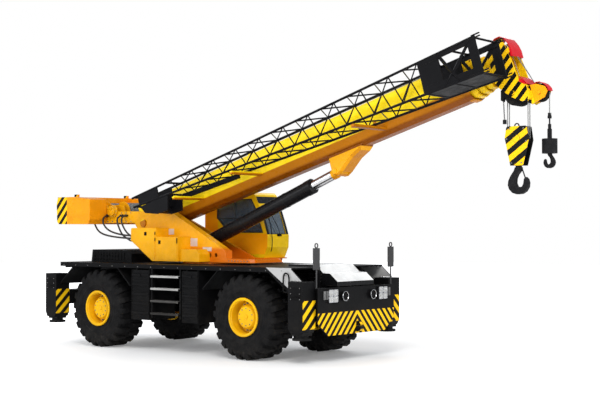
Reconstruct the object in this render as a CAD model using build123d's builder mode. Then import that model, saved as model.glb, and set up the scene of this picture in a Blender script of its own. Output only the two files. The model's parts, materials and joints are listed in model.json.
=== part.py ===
"""Two-axle rough-terrain mobile crane with a five-section telescopic boom.

Millimetres.  The crane is drawn about its slewing axis: +X forward, +Y to the driver's left,
+Z up, ground at Z = 0.  keep() moves every finished piece by FRAME_X, which puts the origin on
the ground below the middle of the whole crane.  Boom pieces are drawn in the plane of the boom:
s runs along it from the boom pivot, h stands square to it.
"""
from build123d import *
import os
from math import atan2, cos, degrees, hypot, pi, radians, sin

os.makedirs("parts", exist_ok=True)

# ---------------------------------------------------------------- driving dimensions
FRAME_X = -2190              # from the slewing axis to the middle of the crane's length
FIT = 0.1                    # radial clearance of a pin in its bore
SEAT = 0.3                   # gap between faces that slide or turn on each other

# wheels and axles
WHEELBASE = 4500
AXLE_Z = 890
TYRE_R = 890
TYRE_BODY_R = 836
TYRE_W = 760
WHEEL_Y = 1170
TREAD_LUGS = 22
RIM_R = 360
RIM_WALL = 22
FLANGE_R = 405
HUB_R = 255
SPINDLE_R = 90
SPINDLE_END = 1400           # outer end of a wheel's spindle
KINGPIN_Y = 920
KINGPIN_R = 45
AXLE_TUBE_R = 135
DIFF_R = 250

# chassis
FRAME_HALF = 340
FRAME_PLATE = 40
FRAME_LOW = 1150
FRAME_TOP = 1850
DECK_TOP = 1930
DECK_PLATE = 30
DECK_HALF = 1550
DECK_REAR = -3540
DECK_FRONT = 3570
RING_R = 740
RING_WALL = 150
RACE_Z = 1935                # top of the fixed race of the slewing ring
HOOD_HALF = 620
HOOD_WALL = 20
ENGINE_HOOD_TOP = 2215
ENGINE_HOOD = [(-3300, DECK_TOP), (-3260, ENGINE_HOOD_TOP), (-1985, ENGINE_HOOD_TOP), (-1900, ENGINE_HOOD_TOP - 85),
               (-1900, DECK_TOP)]
ENGINE_HOOD_HALF = 800
ENGINE_HOOD_WALL = 18
APRON = [(-1300, 1530), (1300, 1530), (1300, 830), (960, 570), (-960, 570), (-1300, 830)]
APRON_X = 4020
TOW_BORE = 32

# outriggers
BOX_FRONT_X = 3760           # middle of the front outrigger box
BOX_REAR_X = -3760
BOX_W = 380
BOX_LOW = 930
BOX_H = 330
BOX_WALL = 16
BOX_HALF = 1220
BEAM_W = 156
BEAM_H = 280
BEAM_WALL = 14
BEAM_IN = 1150               # inner end of a retracted beam, past the middle
JACK_Y = 1450
JACK_HALF = 200
JACK_TOP = 1660
JACK_LOW = 640
JACK_WALL = 20
LEG_W = 290
LEG_WALL = 14
FLOAT_R = 190
FLOAT_LOW = 500

# superstructure
TABLE_Z = 1970
TABLE_FLOOR = 60
SIDE_Y = 600                 # outer face of the right-hand side box
LEFT_Y = 470                 # outer face of the left-hand side plate
INNER_Y = 400                # inner faces of both
PIVOT_X = -1700
PIVOT_Z = 2840
PIVOT_R = 90
PIVOT_BOSS_R = 200
CAB_RIGHT = 700
CAB_LEFT = 1450
CAB_WALL = 45
CAB_LOW = 2050
GLASS = 8
WINCH_R = 190
WINCH_FLANGE_R = 230
WINCH_HALF = 300
WINCH_Z = 3130
MAIN_WINCH_X = -2740
AUX_WINCH_X = -3330

# boom
BOOM_REST = 16.3             # degrees above level
BOOM_W = 660
BOOM_TOP = 588               # h of the top of the base section
BOOM_LOW = -172              # h of the bottom of the base section
BOOM_TAIL = -350
BOOM_END = 8960
SECTION_STEP = 33            # each section is this much smaller all round
SECTION_WALL = 9
COLLAR_STEP = 150
STROKE = 8100

# lift cylinder
LIFT_X = -860
LIFT_Z = 2140
EYE_S = 5400
EYE_H = -460
EYE_R = 105
EYE_HALF = 150
BARREL_R = 165
BARREL_LEN = 4040
BARREL_FOOT = 200            # from the foot's axis to the bottom of the bore
ROD_R = 108
ROD_ROOM = 370               # free length below the rod, which it needs when the boom is low
LIFT_PIN_R = 55
BOOT_HALF = 210              # housing under the boom that takes the rod's eye
BOOT_WALL = 40
BOOT_BEVEL = 50

# hoist tackle
HEAD_S = 9806                # main sheaves of the boom head
HEAD_H = -375
SHEAVE_R = 205
SHEAVE_HUB_R = 45
SHEAVE_HALF = 22
SHEAVE_LIP = 22
SHEAVE_Y = (-105, -35, 35, 105)
FALL_Y = (-35, 35)
ROPE_R = 10
NOSE_S = 10263               # single sheave of the auxiliary nose
NOSE_H = -520
NOSE_SHEAVE_R = 150
BLOCK_DROP = 840             # from the head sheaves down to the hook block's sheaves
AUX_DROP = 400               # from the nose sheave down to the pin of its weight
HOOK_DROP = 500              # from the block's sheaves down to the foot of its cross-head
SHANK = 30                   # length of the hook's round shank below it
AUX_PIN_R = 10               # pin that holds the weight on its rope
AUX_EYE_R = 24
AUX_EYE_HALF = 12

# ---------------------------------------------------------------- helpers
LEAN = radians(BOOM_REST)


def boom_point(s, h):
    """X and Z of a point given along and square to the boom."""
    return (PIVOT_X + s * cos(LEAN) - h * sin(LEAN), PIVOT_Z + s * sin(LEAN) + h * cos(LEAN))


def boom_height(point):
    """Distance of a point above the boom's pivot line, square to the boom."""
    return (point.Z - PIVOT_Z) * cos(LEAN) - (point.X - PIVOT_X) * sin(LEAN)


def boom_cut(s):
    """Plane square to the boom, with Y to the right of it and h up it."""
    x, z = boom_point(s, 0)
    return Plane(origin=(x, 0, z), x_dir=(0, 1, 0), z_dir=(cos(LEAN), 0, sin(LEAN)))


BOOM_SIDE = Plane(origin=(PIVOT_X, 0, PIVOT_Z), x_dir=(cos(LEAN), 0, sin(LEAN)), z_dir=(0, -1, 0))


def slab(plane, points, thickness):
    """Flat plate: an outline on a plane, raised along its normal."""
    with BuildPart() as plate:
        with BuildSketch(plane):
            with BuildLine():
                Polyline(*points, close=True)
            make_face()
        extrude(amount=thickness)
    return plate.part


def side_plate(points, y_low, y_high):
    """Plate outlined in X and Z, between two values of Y."""
    return slab(Plane.XZ.offset(-y_high), points, y_high - y_low)


def inset_plate(points, inset, y_low, y_high):
    """As side_plate, with the outline drawn in by this much all round."""
    with BuildPart() as plate:
        with BuildSketch(Plane.XZ.offset(-y_high)):
            with BuildLine():
                Polyline(*points, close=True)
            make_face()
            offset(amount=-inset, kind=Kind.INTERSECTION)
        extrude(amount=y_high - y_low)
    return plate.part


def flat_plate(points, z_low, z_high):
    """Plate outlined in X and Y, between two heights."""
    return slab(Plane.XY.offset(z_low), points, z_high - z_low)


def cross_plate(points, x_low, x_high):
    """Plate outlined in Y and Z, between two values of X."""
    return slab(Plane.YZ.offset(x_low), points, x_high - x_low)


def boom_plate(points, y_low, y_high):
    """Plate outlined in the boom's own s and h, between two values of Y."""
    return slab(BOOM_SIDE.offset(-y_high), points, y_high - y_low)


def block(x_low, x_high, y_low, y_high, z_low, z_high):
    """Box between two corners."""
    corners = [(x_low, y_low), (x_high, y_low), (x_high, y_high), (x_low, y_high)]
    return flat_plate(corners, z_low, z_high)


def rod(start, end, radius, sides=0, bore=0):
    """Round or polygonal bar between two points, bored along its axis where asked."""
    axis = Vector(*end) - Vector(*start)
    with BuildPart() as bar:
        with BuildSketch(Plane(origin=start, z_dir=axis)):
            if sides:
                RegularPolygon(radius, sides)
            else:
                Circle(radius)
            if bore:
                Circle(bore, mode=Mode.SUBTRACT)
        extrude(amount=axis.length)
    return bar.part


def cross_rod(x, z, y_low, y_high, radius, sides=0, bore=0):
    """Bar along Y."""
    return rod((x, y_low, z), (x, y_high, z), radius, sides, bore)


def mirrored(shape):
    """The same piece on the other side of the crane."""
    return mirror(shape, about=Plane.XZ, mode=Mode.PRIVATE)


def keep(name, shape):
    """Move a finished piece into the stored frame and write it."""
    piece = shape.moved(Location((FRAME_X, 0, 0)))
    piece.label = name
    export_step(piece, f"parts/{name}.step")


# corner name, X of the axle, side of the crane (+1 left)
CORNERS = (
    ("front_right", WHEELBASE / 2, -1),
    ("front_left", WHEELBASE / 2, 1),
    ("rear_right", -WHEELBASE / 2, -1),
    ("rear_left", -WHEELBASE / 2, 1),
)


# ---------------------------------------------------------------- chassis
def chassis_frame():
    """Two deep side plates, their cross plates, and the pedestal under the slewing ring."""
    low_end = BOX_LOW - 70
    box_rear = BOX_FRONT_X - BOX_W / 2
    box_front = BOX_REAR_X + BOX_W / 2
    hood_floor = 1550
    outline = [
        (box_front, low_end), (box_front + 260, low_end), (box_front + 420, FRAME_LOW),
        (box_rear - 420, FRAME_LOW), (box_rear - 260, low_end), (box_rear, low_end),
        (box_rear, hood_floor), (2700, hood_floor), (2700, FRAME_TOP), (-2150, FRAME_TOP),
        (-2150, DECK_TOP - DECK_PLATE), (box_front, DECK_TOP - DECK_PLATE),
    ]
    inner = FRAME_HALF - FRAME_PLATE
    ring_low = FRAME_TOP - 420
    with BuildPart() as frame:
        add(side_plate(outline, inner, FRAME_HALF))
        add(side_plate(outline, -FRAME_HALF, -inner))
        # cross plates, from the rear to the front
        for x, low, high in ((box_front + 30, low_end, 1180), (-1950, FRAME_LOW, FRAME_TOP - 80),
                             (1500, FRAME_LOW, FRAME_TOP), (2690, FRAME_LOW, hood_floor),
                             (box_rear - 40, low_end, hood_floor)):
            add(block(x, x + 30, -inner, inner, low, high))
        add(block(-1500, 1500, -inner, inner, FRAME_LOW, FRAME_LOW + 25))
        # drum under the slewing ring, and the fixed race on top of it
        with BuildSketch(Plane.XY.offset(ring_low)):
            RegularPolygon(RING_R, 16)
            RegularPolygon(RING_R - 60, 16, mode=Mode.SUBTRACT)
        extrude(amount=FRAME_TOP - ring_low)
        with BuildSketch(Plane.XY.offset(FRAME_TOP)):
            Circle(RING_R)
            Circle(RING_R - RING_WALL, mode=Mode.SUBTRACT)
        extrude(amount=RACE_Z - FRAME_TOP)
        # spring seats on the axles
        for x in (-WHEELBASE / 2, WHEELBASE / 2):
            for y in (-FRAME_HALF, inner):
                add(block(x - 110, x + 110, y, y + FRAME_PLATE, AXLE_Z + AXLE_TUBE_R, FRAME_LOW))
        # carriers that hold the deck between and beyond the wheels
        for x in (-3430, -1000, -590, 570, 910, 2650):
            for side in (-1, 1):
                y_low, y_high = sorted((side * FRAME_HALF, side * (DECK_HALF - 60)))
                add(block(x, x + 50, y_low, y_high, 1800, DECK_TOP - DECK_PLATE))
    return frame.part


def outrigger_boxes():
    """Front and rear transverse boxes, each a square tube parted by a middle wall."""
    with BuildPart() as boxes:
        for x in (BOX_FRONT_X, BOX_REAR_X):
            low, high = BOX_LOW, BOX_LOW + BOX_H
            add(block(x - BOX_W / 2, x + BOX_W / 2, -BOX_HALF, BOX_HALF, low, high))
            half_bay = BOX_W / 2 - BOX_WALL
            for near, far in ((-half_bay, -BOX_WALL / 2), (BOX_WALL / 2, half_bay)):
                bay = block(x + near, x + far, -BOX_HALF, BOX_HALF, low + BOX_WALL, high - BOX_WALL)
                add(bay, mode=Mode.SUBTRACT)
        # posts that hold the front of the deck beside the hood
        for side in (-1, 1):
            y_low, y_high = sorted((side * 700, side * 760))
            add(block(3585, 3635, y_low, y_high, BOX_LOW + BOX_H - 5, DECK_TOP - DECK_PLATE))
    return boxes.part


def deck():
    """Tread-plate deck with its edge skirts and the mudguards at each wheel arch."""
    with BuildPart() as plate:
        low = DECK_TOP - DECK_PLATE
        add(block(DECK_REAR, DECK_FRONT, -DECK_HALF, DECK_HALF, low, DECK_TOP))
        add(rod((0, 0, low), (0, 0, DECK_TOP), RING_R + 40), mode=Mode.SUBTRACT)
        # the engine and the front hood stand in openings of the deck
        add(block(DECK_REAR, -2150, -FRAME_HALF, FRAME_HALF, low, DECK_TOP), mode=Mode.SUBTRACT)
        add(block(2700, DECK_FRONT, -HOOD_HALF, HOOD_HALF, low, DECK_TOP), mode=Mode.SUBTRACT)
        for side in (-1, 1):
            y_low, y_high = sorted((side * (DECK_HALF - 25), side * DECK_HALF))
            add(block(DECK_REAR, DECK_FRONT, y_low, y_high, 1835, low))
            y_low, y_high = sorted((side * 640, side * DECK_HALF))
            # sloping mudguards: lower end and upper end of each, in X and Z
            for x0, z0, x1, z1 in ((3545, 1400, 2870, low), (1120, 1420, 1640, low),
                                   (-1120, 1420, -1640, low), (-3545, 1420, -2980, low)):
                lip = 28 if x0 > x1 else -28
                guard = [(x0, z0), (x1, z1), (x1 + lip, z1), (x0, z0 + 34)]
                add(side_plate(guard, y_low, y_high))
            # side panel of the front mudguard
            y_low, y_high = sorted((side * (DECK_HALF - 25), side * DECK_HALF))
            panel = [(2870, low), (3545, 1400), (3545, JACK_TOP + 12), (3840, JACK_TOP + 12),
                     (DECK_FRONT, low)]
            add(side_plate(panel, y_low, y_high))
    return plate.part


def front_hood():
    """Stepped and ribbed hood ahead of the deck."""
    top = [(2720, 1975), (3450, 1975), (3640, 1810), (3820, 1800), (4015, 1640)]
    bottom = 1550
    # the rear lower corner is raised, clear of a steered front tyre
    rear_low = [(2900, bottom), (2860, 1650), (2720, 1650)]
    with BuildPart() as hood:
        outline = rear_low + top + [(top[-1][0], bottom)]
        add(side_plate(outline, -HOOD_HALF, HOOD_HALF))
        inside = [(2720 + HOOD_WALL, bottom), (2720 + HOOD_WALL, 1975 - HOOD_WALL),
                  (3445, 1975 - HOOD_WALL), (3635, 1810 - HOOD_WALL), (3815, 1800 - HOOD_WALL),
                  (4015 - HOOD_WALL, 1628), (4015 - HOOD_WALL, bottom)]
        add(side_plate(inside, HOOD_WALL - HOOD_HALF, HOOD_HALF - HOOD_WALL), mode=Mode.SUBTRACT)
        for side in (-1, 1):
            for z in (1620, 1690, 1760):
                y_low, y_high = sorted((side * HOOD_HALF, side * (HOOD_HALF + 14)))
                add(block(2900, 3600, y_low, y_high, z, z + 26))
    return hood.part


def engine_hood():
    """Hood over the engine with ribbed sides, open below."""
    half, wall = ENGINE_HOOD_HALF, ENGINE_HOOD_WALL
    below = [(ENGINE_HOOD[-1][0], DECK_TOP - wall), (ENGINE_HOOD[0][0], DECK_TOP - wall)]
    with BuildPart() as hood:
        add(side_plate(ENGINE_HOOD, -half, half))
        inside = inset_plate(ENGINE_HOOD + below, wall, wall - half, half - wall)
        add(inside, mode=Mode.SUBTRACT)
        for side in (-1, 1):
            y_low, y_high = sorted((side * half, side * (half + 12)))
            for n in range(11):
                x = -3200 + n * 104
                add(block(x, x + 30, y_low, y_high, DECK_TOP + 45, ENGINE_HOOD_TOP - 60))
        # exhaust outlet
        add(rod((-2560, 430, ENGINE_HOOD_TOP), (-2560, 430, ENGINE_HOOD_TOP + 60), 70, 12))
    return hood.part


def engine_block():
    """Engine between the side plates, behind and above the rear axle."""
    half = FRAME_HALF - FRAME_PLATE - SEAT
    return block(-3420, -2180, -half, half, 1160, DECK_TOP - 40)


def front_apron():
    """Front plate that carries the headlamps, on two brackets off the outrigger box."""
    box_face = BOX_FRONT_X + BOX_W / 2
    with BuildPart() as apron:
        add(cross_plate(APRON, APRON_X, APRON_X + 30))
        for side in (-1, 1):
            y_low, y_high = sorted((side * 300, side * 360))
            add(block(box_face, APRON_X, y_low, y_high, 640, 1500))
            y_low, y_high = sorted((side * 1060, side * 1120))
            add(block(box_face, APRON_X, y_low, y_high, 950, 1250))
            # lamp boxes and the round horns beside them
            y_low, y_high = sorted((side * 690, side * 1010))
            add(block(APRON_X + 30, APRON_X + 55, y_low, y_high, 1230, 1500))
            add(rod((APRON_X + 30, side * 480, 1350), (APRON_X + 90, side * 480, 1350), 95, 16))
        # tow eye, a thick lug with a bore across the crane
        lug = [(APRON_X + 30, 600), (APRON_X + 30, 820), (APRON_X + 110, 800), (APRON_X + 150, 750),
               (APRON_X + 150, 670), (APRON_X + 110, 620)]
        add(side_plate(lug, -40, 40))
        add(cross_rod(APRON_X + 92, 710, -41, 41, TOW_BORE), mode=Mode.SUBTRACT)
        for side in (-1, 1):
            y_low, y_high = sorted((side * 1000, side * 1300))
            add(block(APRON_X - 60, APRON_X, y_low, y_high, 1500, 1530))
    return apron.part


def lamps():
    """Headlamp glasses, each a frame of four square lenses."""
    with BuildPart() as glass:
        for side in (-1, 1):
            for y in (775, 925):
                for z in (1300, 1430):
                    y_low, y_high = sorted((side * (y - 66), side * (y + 66)))
                    add(block(APRON_X + 55, APRON_X + 72, y_low, y_high, z - 58, z + 58))
    return glass.part


def side_boxes():
    """Ribbed tanks and tool boxes that hang under the deck between the wheels."""
    low, high = 700, 1800
    near, far = 780, 1560
    with BuildPart() as boxes:
        for side in (-1, 1):
            for x0, x1 in ((-1060, -480), (520, 1010)):
                y_low, y_high = sorted((side * near, side * far))
                add(block(x0, x1, y_low, y_high, low, high))
                y_low, y_high = sorted((side * (near + 6), side * (far - 6)))
                add(block(x0 + 6, x1 - 6, y_low, y_high, low + 6, high - 6), mode=Mode.SUBTRACT)
                y_low, y_high = sorted((side * (far - 3), side * (far + 22)))
                for n in range(5):
                    z = low + 130 + n * 210
                    add(block(x0 + 20, x1 - 20, y_low, y_high, z, z + 46))
    return boxes.part


def ladders():
    """Two-rail ladder with flat rungs on each side, hung from the deck's edge."""
    with BuildPart() as steps:
        for side in (-1, 1):
            y_low, y_high = sorted((side * 1450, side * 1540))
            for x in (-440, 440):
                add(block(x - 20, x + 20, y_low, y_high, 760, 1835))
            for n in range(4):
                z = 830 + n * 270
                y_out = sorted((side * 1440, side * 1590))
                add(block(-420, 420, y_out[0], y_out[1], z, z + 40))
    return steps.part


def mirrors():
    """Two mirrors on bent poles at the front corners."""
    with BuildPart() as pair:
        for side in (-1, 1):
            x, y = APRON_X - 30, side * 1270
            add(rod((x, y, 1530), (x, y, 1900), 16, 8))
            y_low, y_high = sorted((y - side * 90, y + side * 90))
            add(block(x - 20, x + 16, y_low, y_high, 1900, 2330))
            add(rod((x - 12, y, 2378), (x + 8, y, 2378), 52, 16, 36))
    return pair.part


# ---------------------------------------------------------------- axles, knuckles, wheels
def axle(x):
    """Axle tube with its differential and an eye for the kingpin at each end."""
    eye_half = 150
    with BuildPart() as tube:
        add(cross_rod(x, AXLE_Z, -KINGPIN_Y, KINGPIN_Y, AXLE_TUBE_R, 12))
        # differential, tapered to both sides
        for way in (-1, 1):
            with BuildSketch(Plane(origin=(x, 0, AXLE_Z), x_dir=(1, 0, 0), z_dir=(0, way, 0))):
                RegularPolygon(DIFF_R, 16)
            extrude(amount=140, taper=18)
        for side in (-1, 1):
            y = side * KINGPIN_Y
            add(rod((x, y, AXLE_Z - eye_half), (x, y, AXLE_Z + eye_half), 85))
            add(rod((x, y, AXLE_Z - 215), (x, y, AXLE_Z + 215), KINGPIN_R))
    return tube.part


def knuckle(x, side):
    """Forked steering knuckle on the kingpin, with the wheel's spindle."""
    y = KINGPIN_Y
    with BuildPart() as fork:
        for low in (AXLE_Z - 205, AXLE_Z + 155):
            add(rod((x, y, low), (x, y, low + 50), 92))
            add(block(x - 92, x + 92, y, y + 150, low, low + 50))
        add(block(x - 92, x + 92, y + 100, y + 150, AXLE_Z - 205, AXLE_Z + 205))
        add(cross_rod(x, AXLE_Z, y + 150, SPINDLE_END, SPINDLE_R))
        add(rod((x, y, AXLE_Z - 206), (x, y, AXLE_Z + 206), KINGPIN_R + FIT), mode=Mode.SUBTRACT)
    return fork.part if side > 0 else mirrored(fork.part)


def wheel_rim(x, side):
    """Deep rim with its disc, hub barrel and raised planetary cover."""
    inner, outer = WHEEL_Y - TYRE_W / 2 + 25, WHEEL_Y + TYRE_W / 2 - 25
    bore = SPINDLE_R + FIT
    disc = WHEEL_Y + 60
    y_hub = disc - 140
    # radius and distance from the crane's middle
    section = [
        (bore, y_hub), (HUB_R - 85, y_hub), (HUB_R - 85, disc),
        (RIM_R - RIM_WALL, disc), (RIM_R - RIM_WALL, inner + 30), (FLANGE_R - 20, inner),
        (FLANGE_R, inner), (FLANGE_R, inner + 22), (RIM_R, inner + 60), (RIM_R, outer - 60),
        (FLANGE_R, outer - 22), (FLANGE_R, outer), (FLANGE_R - 20, outer),
        (RIM_R - RIM_WALL, outer - 30), (RIM_R - RIM_WALL, disc + 40), (HUB_R, disc + 40),
        (HUB_R, disc + 150), (HUB_R - 40, disc + 200), (0, disc + 200), (0, SPINDLE_END + SEAT),
        (bore, SPINDLE_END + SEAT),
    ]
    with BuildPart() as rim:
        with BuildSketch(Plane.XY):
            with BuildLine():
                Polyline(*section, close=True)
            make_face()
        revolve(axis=Axis.Y)
    shape = rim.part.moved(Location((x, 0, AXLE_Z)))
    return shape if side > 0 else mirrored(shape)


def tyre():
    """Earthmover tyre about the Y axis: a faceted body and two staggered rows of shoulder lugs."""
    half = TYRE_W / 2
    facets = TREAD_LUGS * 2
    pitch = 2 * pi / TREAD_LUGS
    bulge_r = 640                # where the side wall starts to fall in to the bead
    fall = 40
    root = FLANGE_R + 8

    def end_plane(y, way):
        return Plane(origin=(0, y, 0), x_dir=(1, 0, 0), z_dir=(0, way, 0))

    def drum(radius, shoulder, slope):
        """Faceted drum across the tyre, each end sloped in over the shoulder's width."""
        with BuildPart() as shape:
            with BuildSketch(end_plane(0, 1)):
                RegularPolygon(radius, facets)
            extrude(amount=half - shoulder, both=True)
            for way in (-1, 1):
                with BuildSketch(end_plane(way * (half - shoulder), way)):
                    RegularPolygon(radius, facets)
                extrude(amount=shoulder, taper=degrees(atan2(slope, shoulder)))
        return shape.part

    with BuildPart() as casing:
        add(drum(TYRE_BODY_R, 90, 150))
        # lugs: flat bars set round the tread, in two rows half a pitch apart
        for way in (-1, 1):
            for n in range(TREAD_LUGS):
                turn = (n + way / 4) * 360 / TREAD_LUGS
                add(tread_lug(way, half, pitch).rotate(Axis.Y, turn))
        add(cross_rod(0, 0, -half - 1, half + 1, RIM_R + SEAT), mode=Mode.SUBTRACT)
        add(cross_rod(0, 0, 100 - half, half - 100, TYRE_BODY_R - 75, 24), mode=Mode.SUBTRACT)
        for way in (-1, 1):
            # the side wall falls in to the bead, and the bead leaves room for the rim's flange
            with BuildSketch(end_plane(way * half, -way)):
                RegularPolygon(bulge_r, facets)
            extrude(amount=fall, taper=degrees(atan2(bulge_r - root, fall)), mode=Mode.SUBTRACT)
            y_low, y_high = sorted((way * half, way * (half - 88)))
            add(cross_rod(0, 0, y_low, y_high, FLANGE_R + SEAT), mode=Mode.SUBTRACT)
    return casing.part


def tread_lug(way, half, pitch):
    """One lug at the top of the tyre: a bar from the middle out to the shoulder."""
    wide = TYRE_R * pitch * 0.20
    outer = way * (half - 12)
    outline = [(0, TYRE_BODY_R - 25), (0, TYRE_R), (way * (half - 75), TYRE_R), (outer, TYRE_R - 70),
               (outer, TYRE_BODY_R - 130), (way * (half - 90), TYRE_BODY_R - 25)]
    with BuildPart() as lug:
        with BuildSketch(Plane.YZ.offset(-wide)):
            with BuildLine():
                Polyline(*outline, close=True)
            make_face()
        extrude(amount=2 * wide)
    return lug.part


# ---------------------------------------------------------------- outriggers
def beam_x(corner_x, side):
    """Middle of a beam's bay: right and left beams lie side by side in their box."""
    centre = BOX_FRONT_X if corner_x > 0 else BOX_REAR_X
    return centre + side * (BOX_W / 4 - BOX_WALL / 4)


def outrigger_beam(corner_x, side):
    """Sliding beam with the upright jack housing at its end."""
    x = beam_x(corner_x, side)
    centre = BOX_FRONT_X if corner_x > 0 else BOX_REAR_X
    floor = BOX_LOW + BOX_WALL + SEAT
    with BuildPart() as beam:
        add(block(x - BEAM_W / 2, x + BEAM_W / 2, -BEAM_IN, BOX_HALF + 40, floor, floor + BEAM_H))
        hollow = block(x - BEAM_W / 2 + BEAM_WALL, x + BEAM_W / 2 - BEAM_WALL, -BEAM_IN - 1, BOX_HALF,
                       floor + BEAM_WALL, floor + BEAM_H - BEAM_WALL)
        add(hollow, mode=Mode.SUBTRACT)
        near, far = JACK_Y - JACK_HALF, JACK_Y + JACK_HALF
        half = BOX_W / 2
        outline = [(centre - half, JACK_LOW + 110), (centre - half, JACK_TOP), (centre + half, JACK_TOP),
                   (centre + half, JACK_LOW + 110), (centre + half - 60, JACK_LOW),
                   (centre - half + 60, JACK_LOW)]
        add(side_plate(outline, near, far))
        leg_half = LEG_W / 2 + SEAT
        shaft = block(centre - leg_half, centre + leg_half, JACK_Y - leg_half, JACK_Y + leg_half,
                      JACK_LOW - 1, JACK_TOP - JACK_WALL)
        add(shaft, mode=Mode.SUBTRACT)
    return beam.part if side > 0 else mirrored(beam.part)


def outrigger_jack(corner_x, side):
    """Jack leg with its float, drawn up into the housing."""
    centre = BOX_FRONT_X if corner_x > 0 else BOX_REAR_X
    half = LEG_W / 2
    with BuildPart() as leg:
        top = JACK_TOP - JACK_WALL - 30
        add(block(centre - half, centre + half, JACK_Y - half, JACK_Y + half, FLOAT_LOW + 95, top))
        half = half - LEG_WALL
        hollow = block(centre - half, centre + half, JACK_Y - half, JACK_Y + half, FLOAT_LOW + 120, top + 1)
        add(hollow, mode=Mode.SUBTRACT)
        add(rod((centre, JACK_Y, FLOAT_LOW), (centre, JACK_Y, FLOAT_LOW + 45), FLOAT_R, 16))
        add(rod((centre, JACK_Y, FLOAT_LOW + 45), (centre, JACK_Y, FLOAT_LOW + 100), 130, 16))
    return leg.part if side > 0 else mirrored(leg.part)


# ---------------------------------------------------------------- superstructure
SIDE_BOX = [(-1180, TABLE_Z), (1640, TABLE_Z), (1560, 2050), (913, 2060), (913, 2226), (-800, 3100),
            (-2180, 3120), (-3560, 3120), (-3560, 2850), (-2020, 2850), (-1640, 2380)]
LEFT_PLATE = [(-1180, TABLE_Z), (1640, TABLE_Z), (1560, 2050), (840, 2060), (-1280, 2960),
              (-1480, 3100), (-2180, 3120), (-3560, 3120), (-3560, 2850), (-2020, 2850), (-1640, 2380)]


def turntable_frame():
    """Side box on the right, side plate on the left, the floor between and the slewing race."""
    with BuildPart() as frame:
        add(side_plate(SIDE_BOX, -SIDE_Y, -INNER_Y))
        add(inset_plate(SIDE_BOX, 30, 20 - SIDE_Y, -INNER_Y - 30), mode=Mode.SUBTRACT)
        add(side_plate(LEFT_PLATE, INNER_Y, LEFT_Y))
        # floor over the slewing ring, and the deck at the foot of the cab
        with BuildSketch(Plane.XY.offset(TABLE_Z)):
            with Locations((230, 0)):
                Rectangle(2820, 2 * INNER_Y)
            Circle(RING_R)
        extrude(amount=TABLE_FLOOR)
        add(block(-RING_R, RING_R, -RING_R, -SIDE_Y, TABLE_Z, TABLE_Z + TABLE_FLOOR), mode=Mode.SUBTRACT)
        # room for the lift cylinder's foot when the boom is low
        add(block(-1080, -180, -175, 175, TABLE_Z, TABLE_Z + TABLE_FLOOR), mode=Mode.SUBTRACT)
        with BuildSketch(Plane.XY.offset(RACE_Z + SEAT)):
            Circle(RING_R - 20)
            Circle(RING_R - RING_WALL + 20, mode=Mode.SUBTRACT)
        extrude(amount=TABLE_Z - RACE_Z - SEAT)
        # brackets that carry the cab off the left-hand plate
        for x in (-820, 20, 780):
            add(block(x, x + 60, LEFT_Y, CAB_LEFT - 60, TABLE_Z, CAB_LOW - 22))
        add(block(-950, 960, CAB_RIGHT - 10, CAB_LEFT - 40, CAB_LOW - 22, CAB_LOW))
        # bosses of the boom pivot and of the lift cylinder's foot
        for side in (-1, 1):
            y_low, y_high = sorted((side * (BOOM_W / 2 + 8), side * INNER_Y))
            add(cross_rod(PIVOT_X, PIVOT_Z, y_low, y_high, PIVOT_BOSS_R))
            y_low, y_high = sorted((side * (EYE_HALF + 5), side * INNER_Y))
            add(cross_rod(LIFT_X, LIFT_Z, y_low, y_high, 92))
        bore = cross_rod(PIVOT_X, PIVOT_Z, -SIDE_Y - 1, LEFT_Y + 1, PIVOT_R + FIT)
        add(bore, mode=Mode.SUBTRACT)
        bore = cross_rod(LIFT_X, LIFT_Z, -INNER_Y - 31, LEFT_Y + 1, LIFT_PIN_R + FIT)
        add(bore, mode=Mode.SUBTRACT)
        # winch side plates rise off the tail of the frame
        for x in (MAIN_WINCH_X, AUX_WINCH_X):
            cheek = [(x - 210, 3100), (x + 210, 3100), (x + 150, WINCH_Z + 150), (x - 150, WINCH_Z + 150)]
            for side in (-1, 1):
                y_low, y_high = sorted((side * INNER_Y, side * (INNER_Y + 40)))
                add(side_plate(cheek, y_low, y_high))
            bore = cross_rod(x, WINCH_Z, -SIDE_Y - 1, LEFT_Y + 1, 60 + FIT)
            add(bore, mode=Mode.SUBTRACT)
        # tie plates between the tails of the two sides
        add(block(-3560, -3520, -INNER_Y, INNER_Y, 2850, 2960))
        add(block(MAIN_WINCH_X - 320, MAIN_WINCH_X - 270, -INNER_Y, INNER_Y, 2850, 2890))
        # round lightening holes low in the right-hand box
        for x in (430, 610):
            add(cross_rod(x, 2130, -SIDE_Y - 1, -SIDE_Y + 22, 42), mode=Mode.SUBTRACT)
    return frame.part


def counterweight():
    """Cast slab across the tail with an arm forward along each side of the winches."""
    rear, front, low, high = -4140, -2950, 2820, 3470
    side_in, side_out = 640, 1160
    with BuildPart() as weight:
        outline = [(rear, low + 60), (rear + 60, low), (-3570, low), (-3570, high), (rear + 30, high),
                   (rear - 20, high - 160)]
        add(side_plate(outline, -side_out, side_out))
        arm = [(-3570, low), (front - 60, low), (front, low + 110), (front, high - 60), (-3570, high)]
        for side in (-1, 1):
            y_low, y_high = sorted((side * side_in, side * side_out))
            add(side_plate(arm, y_low, y_high))
        for side in (-1, 1):
            # seats on the frame's tail, and lifting lugs on top
            y_low, y_high = sorted((side * (LEFT_Y if side > 0 else SIDE_Y), side * side_in))
            add(block(-3540, -3240, y_low, y_high, 2860, 3060))
            add(block(-3900, -3780, side * 800 - 30, side * 800 + 30, high, high + 70))
    return weight.part


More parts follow.
